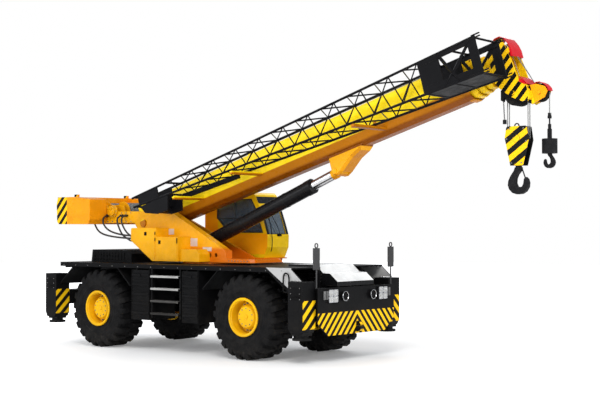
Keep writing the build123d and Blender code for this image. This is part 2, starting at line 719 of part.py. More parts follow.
def lockers():
    """Battery and hydraulic lockers on the right of the side box, with raised doors."""
    face = SIDE_Y + 400
    with BuildPart() as boxes:
        rear = [(-1700, 2440), (-1700, 2700), (-1670, 2730), (-870, 2730), (-870, 1985), (-1000, 1985)]
        add(side_plate(rear, -face, -SIDE_Y))
        middle = [(-870, 1985), (-870, 2530), (-170, 2530), (-170, 1985)]
        add(side_plate(middle, -face, -SIDE_Y))
        low = [(-170, 1985), (-170, 2260), (330, 2260), (430, 2150), (430, 1985)]
        add(side_plate(low, -face + 60, -SIDE_Y))
        # doors stand a little proud
        doors = ([(-1660, 2450), (-1660, 2690), (-900, 2690), (-900, 2020), (-1010, 2020)],
                 [(-840, 2020), (-840, 2500), (-200, 2500), (-200, 2020)])
        for door in doors:
            add(side_plate(door, -face - 12, -face))
    return boxes.part


CAB_PROFILE = [(-980, CAB_LOW), (860, CAB_LOW), (975, 2290), (985, 2550), (890, 2830), (745, 3200),
               (600, 3490), (540, 3540), (-930, 3540), (-980, 3480)]
SIDE_WINDOW = [(-590, 2960), (-590, 3400), (500, 3400), (640, 3170), (850, 2620), (-230, 2620)]
DOOR_X = (-330, 560)


def cab_shell():
    """Operator's cab: floor, four walls and roof around a hollow, with its windows cut."""
    with BuildPart() as cab:
        add(side_plate(CAB_PROFILE, CAB_RIGHT, CAB_LEFT))
        room = inset_plate(CAB_PROFILE, CAB_WALL, CAB_RIGHT + CAB_WALL, CAB_LEFT - CAB_WALL)
        add(room, mode=Mode.SUBTRACT)
        add(side_plate(SIDE_WINDOW, CAB_RIGHT - 1, CAB_RIGHT + CAB_WALL + 1), mode=Mode.SUBTRACT)
        # doorway in the left wall, and the quarter window ahead of it
        doorway = [(DOOR_X[0], CAB_LOW + 70), (DOOR_X[0], 3440), (470, 3440), (DOOR_X[1], 3240),
                   (DOOR_X[1], CAB_LOW + 70)]
        add(side_plate(doorway, CAB_LEFT - CAB_WALL - 1, CAB_LEFT + 1), mode=Mode.SUBTRACT)
        quarter = [(DOOR_X[1] + 60, 2620), (DOOR_X[1] + 60, 3140), (700, 3140), (850, 2700), (840, 2620)]
        add(side_plate(quarter, CAB_LEFT - CAB_WALL - 1, CAB_LEFT + 1), mode=Mode.SUBTRACT)
        # windscreen, roof and rear windows
        y0, y1 = CAB_RIGHT + 80, CAB_LEFT - 80
        add(block(600, 1100, y0, y1, 2600, 3190), mode=Mode.SUBTRACT)
        add(block(640, 1100, y0, y1, 3190, 3240), mode=Mode.SUBTRACT)
        add(block(-250, 440, y0, y1, 3480, 3600), mode=Mode.SUBTRACT)
        add(block(-1100, -900, y0, y1, 2700, 3380), mode=Mode.SUBTRACT)
    return cab.part


def cab_glass():
    """Window panes, each set in its opening."""
    with BuildPart() as panes:
        middle = CAB_RIGHT + CAB_WALL / 2
        add(side_plate(SIDE_WINDOW, middle - GLASS / 2, middle + GLASS / 2))
        middle = CAB_LEFT - CAB_WALL / 2
        quarter = [(DOOR_X[1] + 60, 2620), (DOOR_X[1] + 60, 3140), (700, 3140), (850, 2700), (840, 2620)]
        add(side_plate(quarter, middle - GLASS / 2, middle + GLASS / 2))
        y0, y1 = CAB_RIGHT + 80, CAB_LEFT - 80
        # windscreen in two flats that follow the cab's front
        screen = [(946, 2600), (873, 2822), (744, 3150), (729, 3190), (709, 3240), (701, 3240),
                  (721, 3190), (736, 3150), (865, 2822), (937, 2600)]
        add(side_plate(screen, y0, y1))
        add(block(-250, 440, y0, y1, 3510, 3510 + GLASS))
        add(block(-960, -960 + GLASS, y0, y1, 2700, 3380))
    return panes.part


def operator_chair():
    """Seat, back, arm consoles and pedestal, with the front console and pedals."""
    y = (CAB_RIGHT + CAB_LEFT) / 2
    floor = CAB_LOW + CAB_WALL
    with BuildPart() as chair:
        add(block(-420, -120, y - 150, y + 150, floor, floor + 260))
        cushion = [(-560, floor + 260), (-560, floor + 400), (-60, floor + 430), (-20, floor + 380),
                   (-40, floor + 260)]
        add(side_plate(cushion, y - 240, y + 240))
        back = [(-600, floor + 300), (-760, floor + 1050), (-640, floor + 1060), (-500, floor + 400),
                (-500, floor + 300)]
        add(side_plate(back, y - 220, y + 220))
        for side in (-1, 1):
            y_low, y_high = sorted((y + side * 240, y + side * 310))
            add(block(-420, 20, y_low, y_high, floor + 330, floor + 560))
            add(rod((-30, (y_low + y_high) / 2, floor + 560), (-10, (y_low + y_high) / 2, floor + 700), 18, 8))
    with BuildPart() as console:
        desk = [(540, floor), (790, floor), (850, floor + 240), (700, floor + 560), (620, floor + 540),
                (640, floor + 200)]
        add(side_plate(desk, y - 200, y + 200))
    return Compound([chair.part, console.part])


def cab_door():
    """Sliding door that hangs outside the left wall."""
    face = CAB_LEFT + 6
    outline = [(DOOR_X[0] - 40, CAB_LOW + 40), (DOOR_X[0] - 40, 3470), (490, 3470), (DOOR_X[1] + 30, 3250),
               (DOOR_X[1] + 30, CAB_LOW + 40)]
    window = [(DOOR_X[0] + 40, 2600), (DOOR_X[0] + 40, 3390), (450, 3390), (DOOR_X[1] - 50, 3220),
              (DOOR_X[1] - 50, 2600)]
    with BuildPart() as door:
        add(side_plate(outline, face, face + 38))
        add(side_plate(window, face - 1, face + 39), mode=Mode.SUBTRACT)
        # hanger and foot that run on the rails of the wall
        for z in (2120, 3486):
            add(block(-200, 300, CAB_LEFT + SEAT, face + 20, z - 14, z))
    return door.part


def cab_door_glass():
    """Pane of the sliding door."""
    face = CAB_LEFT + 6 + 15
    window = [(DOOR_X[0] + 40, 2600), (DOOR_X[0] + 40, 3390), (450, 3390), (DOOR_X[1] - 50, 3220),
              (DOOR_X[1] - 50, 2600)]
    return side_plate(window, face, face + GLASS)


def winch_drum(x):
    """Hoist drum with its flanges, its wound rope and the shaft it turns on."""
    half = WINCH_HALF
    with BuildPart() as drum:
        add(cross_rod(x, WINCH_Z, -half, half, WINCH_R, 24))
        for side in (-1, 1):
            y_low, y_high = sorted((side * (half - 22), side * half))
            add(cross_rod(x, WINCH_Z, y_low, y_high, WINCH_FLANGE_R, 32))
        add(cross_rod(x, WINCH_Z, -INNER_Y - 38, INNER_Y + 38, 60))
    return drum.part


# ---------------------------------------------------------------- boom
BOOM_CENTRE_H = (BOOM_TOP + BOOM_LOW) / 2


def boom_outline(inset):
    """Half-rounded box section of the boom, this much inside the base section's skin."""
    w = BOOM_W / 2 - inset
    top, low = BOOM_TOP - inset, BOOM_LOW + inset
    bevel = 45
    return [(-w, top - bevel), (-w + bevel, top), (w - bevel, top), (w, top - bevel),
            (w, low + 225), (w * 0.70, low + 62), (w * 0.32, low), (-w * 0.32, low),
            (-w * 0.70, low + 62), (-w, low + 225)]


def boom_skin(h):
    """Half-width of the base section at a height."""
    corner, low_corner = BOOM_LOW + 225, BOOM_LOW + 62
    if h > corner:
        return BOOM_W / 2
    return BOOM_W / 2 * (1 - 0.3 * (corner - h) / (corner - low_corner))


def boom_tube(inset, s_low, s_high, wall=SECTION_WALL):
    """Hollow length of boom between two stations."""
    with BuildPart() as tube:
        add(slab(boom_cut(s_low), boom_outline(inset), s_high - s_low))
        inner = slab(boom_cut(s_low - 1), boom_outline(inset + wall), s_high - s_low + 2)
        add(inner, mode=Mode.SUBTRACT)
    return tube.part


def section_end(n):
    """Station where section n of the boom ends when it is drawn in."""
    return BOOM_END + (n - 1) * COLLAR_STEP


def slide_pads(n):
    """Wear pads inside the collar of section n, on the flats of the section within."""
    inset = (n - 1) * SECTION_STEP
    inner = inset + SECTION_STEP
    w = BOOM_W / 2
    end = section_end(n)
    top, low = BOOM_TOP - inner, BOOM_LOW + inner
    deep = SECTION_STEP - SECTION_WALL - SEAT
    pads = []
    for y in (-0.18 * w, 0.18 * w):
        pads.append(slab(boom_cut(end - 260), [(y - 45, low - SEAT), (y + 45, low - SEAT),
                                               (y + 45, low - SEAT - deep), (y - 45, low - SEAT - deep)], 220))
        pads.append(slab(boom_cut(end - 260), [(y - 45, top + SEAT), (y + 45, top + SEAT),
                                               (y + 45, top + SEAT + deep), (y - 45, top + SEAT + deep)], 220))
    for side in (-1, 1):
        y_in = side * (w - inner + SEAT)
        y_out = side * (w - inner + SEAT + deep)
        pads.append(slab(boom_cut(end - 260), [(y_in, low + 240), (y_out, low + 240), (y_out, low + 320),
                                               (y_in, low + 320)], 220))
    return pads


def collar(n):
    """Reinforcing collar round the end of section n."""
    inset = (n - 1) * SECTION_STEP
    end = section_end(n)
    return boom_tube(inset - 22, end - 110, end, 22)


def lift_boot():
    """Tapered housing for the eye of the lift cylinder, open behind and below the eye."""
    top = BOOM_LOW + 44          # just inside the sloping skin
    outline = [(EYE_S - 110, top), (EYE_S - 100, EYE_H - 40), (EYE_S - 60, EYE_H - 110),
               (EYE_S + 50, EYE_H - 125), (EYE_S + 160, EYE_H - 80), (EYE_S + 500, EYE_H + 130),
               (EYE_S + 740, EYE_H + 210), (EYE_S + 830, top)]
    pocket = [(EYE_S - 200, top + 30), (EYE_S - 200, EYE_H - 180), (EYE_S + 145, EYE_H - 180),
              (EYE_S + 175, EYE_H - 48), (EYE_S + 500, EYE_H + 160), (EYE_S + 720, EYE_H + 235),
              (EYE_S + 720, BOOM_LOW + 4), (EYE_S + 840, BOOM_LOW + 4), (EYE_S + 840, top + 30)]
    with BuildPart() as boot:
        add(boom_plate(outline, -BOOT_HALF, BOOT_HALF))
        # bevel along the lower edge of each side
        low_edges = [edge for edge in boot.edges()
                     if abs(abs(edge.center().Y) - BOOT_HALF) < 1
                     and boom_height(edge.center()) < BOOM_LOW - 60]
        chamfer(low_edges, BOOT_BEVEL)
        inside = BOOT_HALF - BOOT_WALL
        add(boom_plate(pocket, -inside, inside), mode=Mode.SUBTRACT)
    return boot.part


def boom_base():
    """Base section: tail plates with the pivot pin, lift bracket, jib brackets and rope rollers."""
    with BuildPart() as base:
        add(boom_tube(0, BOOM_TAIL, BOOM_END))
        add(collar(1))
        for pad in slide_pads(1):
            add(pad)
        # doubler plates at the pivot, and the pin
        for side in (-1, 1):
            y_low, y_high = sorted((side * (BOOM_W / 2 - 60), side * BOOM_W / 2))
            add(boom_plate([(BOOM_TAIL, 55), (BOOM_TAIL, 400), (300, 540), (300, 60)], y_low, y_high))
        add(cross_rod(PIVOT_X, PIVOT_Z, -SIDE_Y - 30, LEFT_Y + 30, PIVOT_R))
        add(cross_rod(PIVOT_X, PIVOT_Z, -BOOM_W / 2 - 5, BOOM_W / 2 + 5, PIVOT_BOSS_R - 45))
        # tail plate closes the lower half of the section
        add(slab(boom_cut(BOOM_TAIL), [(-300, 60), (300, 60), (220, -100), (100, -160), (-100, -160),
                                       (-220, -100)], 16))
        add(lift_boot())
        for side in (-1, 1):
            eye = boom_point(EYE_S, EYE_H)
            add(cross_rod(eye[0], eye[1], *sorted((side * (BOOT_HALF - 5), side * (BOOT_HALF + 12))), 62))
        for pad in stow_brackets():
            add(pad)
        # rope guide rollers on top
        for s in (400, 3200, 6200):
            for y in (-150, 130):
                add(boom_plate([(s - 60, BOOM_TOP - 5), (s + 60, BOOM_TOP - 5), (s + 30, BOOM_TOP + 90),
                                (s - 30, BOOM_TOP + 90)], y, y + 20))
    return base.part


# stowed jib: edges of its box at its tail and at its head, stations along the boom
JIB_TAIL_S, JIB_HEAD_S = 440, 9950
JIB_IN = (-811, -540)
JIB_OUT = (-1235, -1370)
JIB_TOP = (451, 553)
JIB_LOW = (240, -133)
CHORD_R = 26
LACE_R = 15
LACED_S = 1740               # where the lacing begins
JIB_BAYS = 10
BAY = 690
BAY_FOOT = 200               # from a bay's joint on the top chord to its joint on the low one
CROSS_TUBE_S = (500, 1580, 8700, 9300, 9900)
PANEL = 26                   # thickness of the plates in the jib's side frames
TIP_PLATE = (640, 1290)      # plated tip
TIP_CHEEK = [(620, 190), (695, 137), (779, 6), (1132, -121), (1480, -143), (1562, 142), (1562, 195)]
TIP_SHEAVE_S, TIP_SHEAVE_H, TIP_SHEAVE_R = 1130, 40, 140
FOOT_PLATE = (8650, 9110)    # plated foot, which pins to the boom head
FOOT_END = 180               # length of the plate at its open end
FOOT_STRUTS = ((9870, 9130), (9100, 9440))
STRUT_R = 34
PRONG = 110                  # reach of its prongs past the chords
RAIL = (1150, 3300)          # ends of the rail under the inner lower chord
RAIL_DROP = 90               # from that chord's axis to the foot of the rail
RAIL_HALF = 35
STOW_S = (1750, 3560, 6900)  # brackets of the boom that carry the jib


def jib_edge(values, s):
    """Value of a jib edge at a station, between its tail and head values."""
    share = (s - JIB_TAIL_S) / (JIB_HEAD_S - JIB_TAIL_S)
    return values[0] + (values[1] - values[0]) * share


def boom_xyz(s, y, h):
    x, z = boom_point(s, h)
    return (x, y, z)


def jib_point(s, edge_y, edge_h):
    return boom_xyz(s, jib_edge(edge_y, s), jib_edge(edge_h, s))


def stow_brackets():
    """Brackets on the boom's right side that the folded jib rests on."""
    half = 35
    fall = (JIB_LOW[0] - JIB_LOW[1]) / (JIB_HEAD_S - JIB_TAIL_S)
    pieces = []
    for s in STOW_S:
        drop = RAIL_DROP if RAIL[0] < s < RAIL[1] else CHORD_R
        y_stop = jib_edge(JIB_IN, s) + 2 * CHORD_R
        # the jib falls along the bracket, and its lowest edge just clears the saddle
        top = jib_edge(JIB_LOW, s) - drop - SEAT - half * fall
        pieces.append(boom_plate([(s - half, top - 60), (s - half, top), (s + half, top),
                                  (s + half, top - 60)], jib_edge(JIB_OUT, s) - 20, 8 - boom_skin(top)))
        pieces.append(boom_plate([(s - half, top - 4), (s - half, top + 130), (s + half, top + 130),
                                  (s + half, top - 4)], y_stop, y_stop + 20))
    return pieces


def jib_plate(outline, y):
    """Plate in a side frame of the jib, on its line y."""
    return boom_plate(outline, y - PANEL / 2, y + PANEL / 2)


def jib_panel(edge_y, s_low, s_high):
    """Plate between the chords of one side frame of the jib."""
    outline = [(s, jib_edge(edge_h, s)) for s, edge_h in ((s_low, JIB_LOW), (s_low, JIB_TOP),
                                                          (s_high, JIB_TOP), (s_high, JIB_LOW))]
    return jib_plate(outline, jib_edge(edge_y, (s_low + s_high) / 2))


def jib_band(edge_h, s_low, s_high, near, far):
    """Outline of a strip along one chord, between two distances above its axis."""
    low, high = jib_edge(edge_h, s_low), jib_edge(edge_h, s_high)
    return [(s_low, low + near), (s_low, low + far), (s_high, high + far), (s_high, high + near)]


def jib_lacing():
    """Zigzag bars on the four faces of the jib."""
    bars = []
    for n in range(JIB_BAYS):
        head = LACED_S + n * BAY
        foot = head + BAY_FOOT
        middle = head + BAY / 2
        for edge_y in (JIB_IN, JIB_OUT):
            corner = jib_point(foot, edge_y, JIB_LOW)
            bars.append(rod(jib_point(head, edge_y, JIB_TOP), corner, LACE_R, 4))
            bars.append(rod(corner, jib_point(head + BAY, edge_y, JIB_TOP), LACE_R, 4))
        for edge_h in (JIB_LOW, JIB_TOP):
            corner = jib_point(middle, JIB_OUT, edge_h)
            bars.append(rod(jib_point(head, JIB_IN, edge_h), corner, LACE_R, 4))
            bars.append(rod(corner, jib_point(head + BAY, JIB_IN, edge_h), LACE_R, 4))
    return bars


def jib():
    """Folding lattice jib: four chords and their lacing, a sheave tip, a rail and a plated foot."""
    edges = [(edge_y, edge_h) for edge_y in (JIB_IN, JIB_OUT) for edge_h in (JIB_LOW, JIB_TOP)]
    bars = [rod(jib_point(JIB_TAIL_S, *edge), jib_point(JIB_HEAD_S, *edge), CHORD_R, 6) for edge in edges]
    bars += jib_lacing()
    for s in CROSS_TUBE_S:
        for edge_h in (JIB_LOW, JIB_TOP):
            bars.append(rod(jib_point(s, JIB_IN, edge_h), jib_point(s, JIB_OUT, edge_h), CHORD_R - 4, 6))
    # sheave of the tip, between the cheeks that hang from the side frames
    x, z = boom_point(TIP_SHEAVE_S, TIP_SHEAVE_H)
    y_in, y_out = jib_edge(JIB_IN, TIP_SHEAVE_S), jib_edge(JIB_OUT, TIP_SHEAVE_S)
    y_middle = (y_in + y_out) / 2
    bars.append(cross_rod(x, z, y_middle - 90, y_middle + 90, TIP_SHEAVE_R, 24))
    bars.append(cross_rod(x, z, y_out, y_in, 40, 12))
    # rail that the jib slides out on
    y = jib_edge(JIB_IN, sum(RAIL) / 2)
    bars.append(boom_plate(jib_band(JIB_LOW, *RAIL, -RAIL_DROP, 0), y - RAIL_HALF, y + RAIL_HALF))
    for edge_y in (JIB_IN, JIB_OUT):
        bars.append(jib_panel(edge_y, *TIP_PLATE))
        bars.append(jib_plate(TIP_CHEEK, jib_edge(edge_y, TIP_SHEAVE_S)))
        # foot: each side frame is a ring of plates round an opening that two struts cross
        y = jib_edge(edge_y, (FOOT_PLATE[0] + JIB_HEAD_S) / 2)
        bars.append(jib_panel(edge_y, *FOOT_PLATE))
        bars.append(jib_panel(edge_y, JIB_HEAD_S - FOOT_END, JIB_HEAD_S))
        bars.append(jib_plate(jib_band(JIB_TOP, FOOT_PLATE[0], JIB_HEAD_S, -95, 0), y))
        bars.append(jib_plate(jib_band(JIB_LOW, FOOT_PLATE[0], JIB_HEAD_S, 0, 130), y))
        for head, foot in FOOT_STRUTS:
            bars.append(rod(jib_point(head, edge_y, JIB_TOP), jib_point(foot, edge_y, JIB_LOW), STRUT_R, 4))
        # prongs that take the pins of the boom head when the jib is in use
        y = jib_edge(edge_y, JIB_HEAD_S)
        for edge_h in (JIB_LOW, JIB_TOP):
            for lift in (-34, 18):
                h = jib_edge(edge_h, JIB_HEAD_S) + lift
                prong = [(JIB_HEAD_S - 60, h), (JIB_HEAD_S - 60, h + 16), (JIB_HEAD_S + PRONG, h + 16),
                         (JIB_HEAD_S + PRONG, h)]
                bars.append(boom_plate(prong, y - 20, y + 20))
    # floor plate of the foot
    floor = jib_band(JIB_LOW, FOOT_PLATE[0], JIB_HEAD_S, -6, 6)
    bars.append(boom_plate(floor, jib_edge(JIB_OUT, FOOT_PLATE[0]), jib_edge(JIB_IN, FOOT_PLATE[0])))
    with BuildPart() as lattice:
        add(bars)
    return lattice.part


def boom_section(n):
    """Telescoping section n, with its collar, collar pads and the rear pads it slides on."""
    inset = (n - 1) * SECTION_STEP
    start = 230 + 60 * n
    with BuildPart() as section:
        add(boom_tube(inset, start, section_end(n)))
        if n < 5:
            add(collar(n))
            for pad in slide_pads(n):
                add(pad)
        # rear pads fill the gap to the section outside
        w = BOOM_W / 2 - inset
        deep = SECTION_STEP - SECTION_WALL - SEAT
        top = BOOM_TOP - inset
        for y in (-0.62 * w, 0.62 * w):
            add(slab(boom_cut(start), [(y - 40, top), (y + 40, top), (y + 40, top + deep),
                                       (y - 40, top + deep)], 240))
        for side in (-1, 1):
            add(slab(boom_cut(start), [(side * w, top - 150), (side * (w + deep), top - 150),
                                       (side * (w + deep), top - 80), (side * w, top - 80)], 240))
    return section.part


def boom_head():
    """Head of the last section: side plates, sheave pins, guards and the auxiliary nose."""
    w = BOOM_W / 2 - 4 * SECTION_STEP
    s0 = section_end(5)
    plate = [(s0 - 60, -60), (s0 - 60, 500), (s0 + 40, 660), (9850, 690), (9895, 560), (9950, 230),
             (9980, -120), (9985, -215), (10110, -340), (10110, -600), (9953, -590), (9760, -440),
             (9560, -190)]
    with BuildPart() as head:
        for side in (-1, 1):
            y_low, y_high = sorted((side * w, side * (w + 28)))
            add(boom_plate(plate, y_low, y_high))
        # plates that tie the two sides: back, belly and top
        add(boom_plate([(s0 + 1, -60), (s0 + 1, 500), (s0 + 16, 500), (s0 + 16, -60)], -w, w))
        add(boom_plate([(s0 + 60, 560), (s0 + 60, 576), (9850, 576), (9850, 560)], -w, w))
        # sheave pins across the head, above and below
        for s, h in ((HEAD_S, HEAD_H), (9740, 380)):
            x, z = boom_point(s, h)
            add(cross_rod(x, z, -w - 60, w + 60, SHEAVE_HUB_R))
        # auxiliary nose: two cheeks round its own sheave
        nose = [(9990, -300), (10240, -340), (10400, -450), (10420, -540), (10330, -640), (10060, -680),
                (9990, -600)]
        for side in (-1, 1):
            y_low, y_high = sorted((side * 60, side * 82))
            add(boom_plate(nose, y_low, y_high))
            y_low, y_high = sorted((side * 82, side * w))
            add(boom_plate([(10060, -330), (10095, -400), (10095, -560), (10060, -590)], y_low, y_high))
        x, z = boom_point(NOSE_S, NOSE_H)
        add(cross_rod(x, z, -110, 110, 30))
        # rope guards over the upper sheaves, the lower sheaves and the nose
        guards = ([(9880, 560), (9990, 430), (9990, 300), (9920, 300)],
                  [(9970, -130), (10060, -210), (10105, -350), (9975, -230)])
        for guard in guards:
            for side in (-1, 1):
                y_low, y_high = sorted((side * (w - 60), side * (w + 14)))
                add(boom_plate(guard, y_low, y_high))
    return head.part


def sheave(radius, hub):
    """One grooved sheave about the Y axis, bored for its pin."""
    half, lip, groove = SHEAVE_HALF, radius + SHEAVE_LIP, ROPE_R + 6
    section = [(hub + FIT, -half), (lip, -half), (lip, -groove), (radius, -groove / 2),
               (radius, groove / 2), (lip, groove), (lip, half), (hub + FIT, half)]
    with BuildPart() as wheel:
        with BuildSketch(Plane.XY):
            with BuildLine():
                Polyline(*section, close=True)
            make_face()
        revolve(axis=Axis.Y)
    return wheel.part


def sheave_set(s, h, radius, places, hub):
    """Grooved sheaves side by side on one pin, joined by spacers."""
    x, z = boom_point(s, h)
    with BuildPart() as wheels:
        for y in places:
            add(sheave(radius, hub).moved(Location((x, y, z))))
        for near, far in zip(places[:-1], places[1:]):
            add(cross_rod(x, z, near, far, hub + 30, 0, hub + FIT))
    return wheels.part


# ---------------------------------------------------------------- lift cylinder
LIFT_EYE = boom_point(EYE_S, EYE_H)
LIFT_ANGLE = atan2(LIFT_EYE[1] - LIFT_Z, LIFT_EYE[0] - LIFT_X)
LIFT_LEN = hypot(LIFT_EYE[1] - LIFT_Z, LIFT_EYE[0] - LIFT_X)


def along_lift(distance):
    """Point on the cylinder's axis, measured from its foot."""
    return (LIFT_X + distance * cos(LIFT_ANGLE), 0, LIFT_Z + distance * sin(LIFT_ANGLE))


def lift_barrel():
    """Barrel with its foot eye and gland ring."""
    bore = ROD_R + 18
    with BuildPart() as barrel:
        add(rod(along_lift(120), along_lift(BARREL_LEN), BARREL_R - 4))
        add(rod(along_lift(BARREL_LEN - 190), along_lift(BARREL_LEN), BARREL_R))
        add(cross_rod(LIFT_X, LIFT_Z, -EYE_HALF, EYE_HALF, 130))
        add(rod(along_lift(BARREL_FOOT), along_lift(BARREL_LEN - 60), bore), mode=Mode.SUBTRACT)
        add(rod(along_lift(BARREL_FOOT), along_lift(BARREL_LEN + 1), ROD_R + SEAT), mode=Mode.SUBTRACT)
        add(cross_rod(LIFT_X, LIFT_Z, -INNER_Y - 25, LEFT_Y - 10, LIFT_PIN_R))
    return barrel.part


def lift_rod():
    """Chromed rod with its eye and the short pin that stays in it."""
    x, z = LIFT_EYE
    with BuildPart() as piston:
        add(rod(along_lift(BARREL_FOOT + ROD_ROOM), along_lift(LIFT_LEN - EYE_R + 20), ROD_R))
        add(cross_rod(x, z, -EYE_HALF, EYE_HALF, EYE_R))
        add(cross_rod(x, z, -EYE_HALF - 14, EYE_HALF + 14, 60))
    return piston.part


# ---------------------------------------------------------------- hoist tackle
HEAD_X, HEAD_Z = boom_point(HEAD_S, HEAD_H)
BLOCK_Z = HEAD_Z - BLOCK_DROP
NOSE_X, NOSE_Z = boom_point(NOSE_S, NOSE_H)
AUX_X = NOSE_X + NOSE_SHEAVE_R + ROPE_R + SEAT
AUX_Z = NOSE_Z - AUX_DROP
FALL_OUT = SHEAVE_R + ROPE_R + SEAT


def half_loop():
    """Line over the top half of a head sheave, about the Y axis."""
    with BuildPart() as loop:
        with BuildSketch(Plane.XY):
            with Locations((-FALL_OUT, 0)):
                RegularPolygon(ROPE_R, 8)
        revolve(axis=Axis.Y, revolution_arc=180)
    return loop.part


def rope_falls():
    """Line between the head sheaves and the hook block, with its wrap over each head sheave."""
    with BuildPart() as falls:
        for y in FALL_Y:
            for way in (-1, 1):
                x = HEAD_X + way * FALL_OUT
                add(rod((x, y, BLOCK_Z), (x, y, HEAD_Z), ROPE_R, 8))
            add(half_loop().moved(Location((HEAD_X, y, HEAD_Z))))
    return falls.part


def hook_block():
    """Cheek plates, sheaves and the cross-head of the hook."""
    cheek = [(-185, 235), (-215, 215), (-248, 20), (-130, -HOOK_DROP), (140, -HOOK_DROP), (258, -30),
             (220, 215), (190, 235)]
    lip = SHEAVE_R + 12
    with BuildPart() as tackle:
        for side in (-1, 1):
            y_low, y_high = sorted((side * 74, side * 92))
            outline = [(HEAD_X + dx, BLOCK_Z + dz) for dx, dz in cheek]
            add(side_plate(outline, y_low, y_high))
        for y in (-35, 35):
            add(cross_rod(HEAD_X, BLOCK_Z, y - 26, y - 14, lip, 32))
            add(cross_rod(HEAD_X, BLOCK_Z, y + 14, y + 26, lip, 32))
            add(cross_rod(HEAD_X, BLOCK_Z, y - 14, y + 14, SHEAVE_R, 32))
        add(cross_rod(HEAD_X, BLOCK_Z, -104, 104, 70))
        add(block(HEAD_X - 90, HEAD_X + 90, -74, 74, BLOCK_Z - HOOK_DROP, BLOCK_Z - HOOK_DROP + 100))
        # small lifting bow on top
        add(block(HEAD_X - 40, HEAD_X + 40, -74, 74, BLOCK_Z + 180, BLOCK_Z + 205), mode=Mode.ADD)
    return tackle.part


def hook_shape(x, z, scale, way=1):
    """Single crane hook hanging from a point, its mouth to the front where way is 1."""
    thick = 48 * scale
    outer = [(-60, 0), (-85, -68), (-154, -159), (-200, -249), (-211, -329), (-184, -407), (-119, -475),
             (-27, -505), (76, -498), (156, -453), (207, -373), (216, -294), (197, -226), (156, -185)]
    inner = [(128, -226), (117, -306), (88, -362), (30, -378), (-27, -356), (-55, -294), (-50, -215),
             (-16, -136), (40, -76), (60, -33), (60, 0)]
    outline = [(x + way * dx * scale, z + dz * scale) for dx, dz in outer + inner]
    with BuildPart() as hook:
        add(side_plate(outline, -thick, thick))
    return hook.part


def hook():
    """Main hook on its shank below the cross-head."""
    low = BLOCK_Z - HOOK_DROP
    with BuildPart() as forged:
        add(hook_shape(HEAD_X, low - SHANK, 1))
        add(rod((HEAD_X, 0, low - SHANK - 1), (HEAD_X, 0, low - SEAT), 60))
    return forged.part


def aux_rope():
    """Single line from the nose sheave, with the eye that holds the weight."""
    with BuildPart() as line:
        add(rod((AUX_X, 0, AUX_Z + AUX_EYE_R - 6), (AUX_X, 0, NOSE_Z), ROPE_R, 8))
        add(cross_rod(AUX_X, AUX_Z, -AUX_EYE_HALF, AUX_EYE_HALF, AUX_EYE_R, 0, AUX_PIN_R + FIT))
    return line.part


def aux_hook():
    """Round weight that hangs on its pin in the rope's eye, and a small hook below it."""
    below = AUX_Z - AUX_EYE_R - 8
    neck, shoulder, low = AUX_Z - 185, AUX_Z - 455, AUX_Z - 724
    with BuildPart() as weight:
        for side in (-1, 1):
            y_low, y_high = sorted((side * (AUX_EYE_HALF + SEAT), side * (AUX_EYE_HALF + 14)))
            add(block(AUX_X - 22, AUX_X + 22, y_low, y_high, below - 30, AUX_Z + 20))
        add(cross_rod(AUX_X, AUX_Z, -AUX_EYE_HALF - 20, AUX_EYE_HALF + 20, AUX_PIN_R))
        add(rod((AUX_X, 0, below - 50), (AUX_X, 0, below), 38, 12))
        add(rod((AUX_X, 0, neck), (AUX_X, 0, below - 50), 14, 12))
        add(rod((AUX_X, 0, neck - 90), (AUX_X, 0, neck), 30, 12))
        add(rod((AUX_X, 0, shoulder), (AUX_X, 0, neck - 90), 42, 12))
        add(rod((AUX_X, 0, low), (AUX_X, 0, shoulder), 141, 24))
        add(hook_shape(AUX_X, low, 0.54, -1))
    return weight.part


# ---------------------------------------------------------------- write every piece
keep("chassis_frame", chassis_frame())
keep("outrigger_boxes", outrigger_boxes())
keep("deck", deck())
keep("front_hood", front_hood())
keep("engine_hood", engine_hood())
keep("engine_block", engine_block())
keep("front_apron", front_apron())
keep("lamps", lamps())
keep("side_boxes", side_boxes())
keep("ladders", ladders())
keep("carrier_mirrors", mirrors())
keep("front_axle", axle(WHEELBASE / 2))
keep("rear_axle", axle(-WHEELBASE / 2))
TYRE = tyre()
for corner, axle_x, side in CORNERS:
    keep(f"knuckle_{corner}", knuckle(axle_x, side))
    keep(f"rim_{corner}", wheel_rim(axle_x, side))
    keep(f"tyre_{corner}", TYRE.moved(Location((axle_x, side * WHEEL_Y, AXLE_Z))))
    keep(f"outrigger_beam_{corner}", outrigger_beam(axle_x, side))
    keep(f"outrigger_jack_{corner}", outrigger_jack(axle_x, side))
keep("turntable_frame", turntable_frame())
keep("counterweight", counterweight())
keep("lockers", lockers())
keep("cab_shell", cab_shell())
keep("cab_glass", cab_glass())
keep("operator_chair", operator_chair())
keep("cab_door", cab_door())
keep("cab_door_glass", cab_door_glass())
keep("main_winch_drum", winch_drum(MAIN_WINCH_X))
keep("aux_winch_drum", winch_drum(AUX_WINCH_X))
keep("boom_base", boom_base())
keep("jib", jib())
for number in (2, 3, 4, 5):
    keep(f"boom_section_{number}", boom_section(number))
keep("boom_head", boom_head())
keep("head_sheaves", sheave_set(HEAD_S, HEAD_H, SHEAVE_R, SHEAVE_Y, SHEAVE_HUB_R))
keep("nose_sheave", sheave_set(NOSE_S, NOSE_H, NOSE_SHEAVE_R, (0,), 30))
keep("lift_barrel", lift_barrel())
keep("lift_rod", lift_rod())
keep("rope_falls", rope_falls())
keep("hook_block", hook_block())
keep("hook", hook())
keep("aux_rope", aux_rope())
keep("aux_hook", aux_hook())
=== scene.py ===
import json
from math import cos, hypot, pi, radians, sin

import bmesh
import bpy
from mathutils import Matrix, Vector

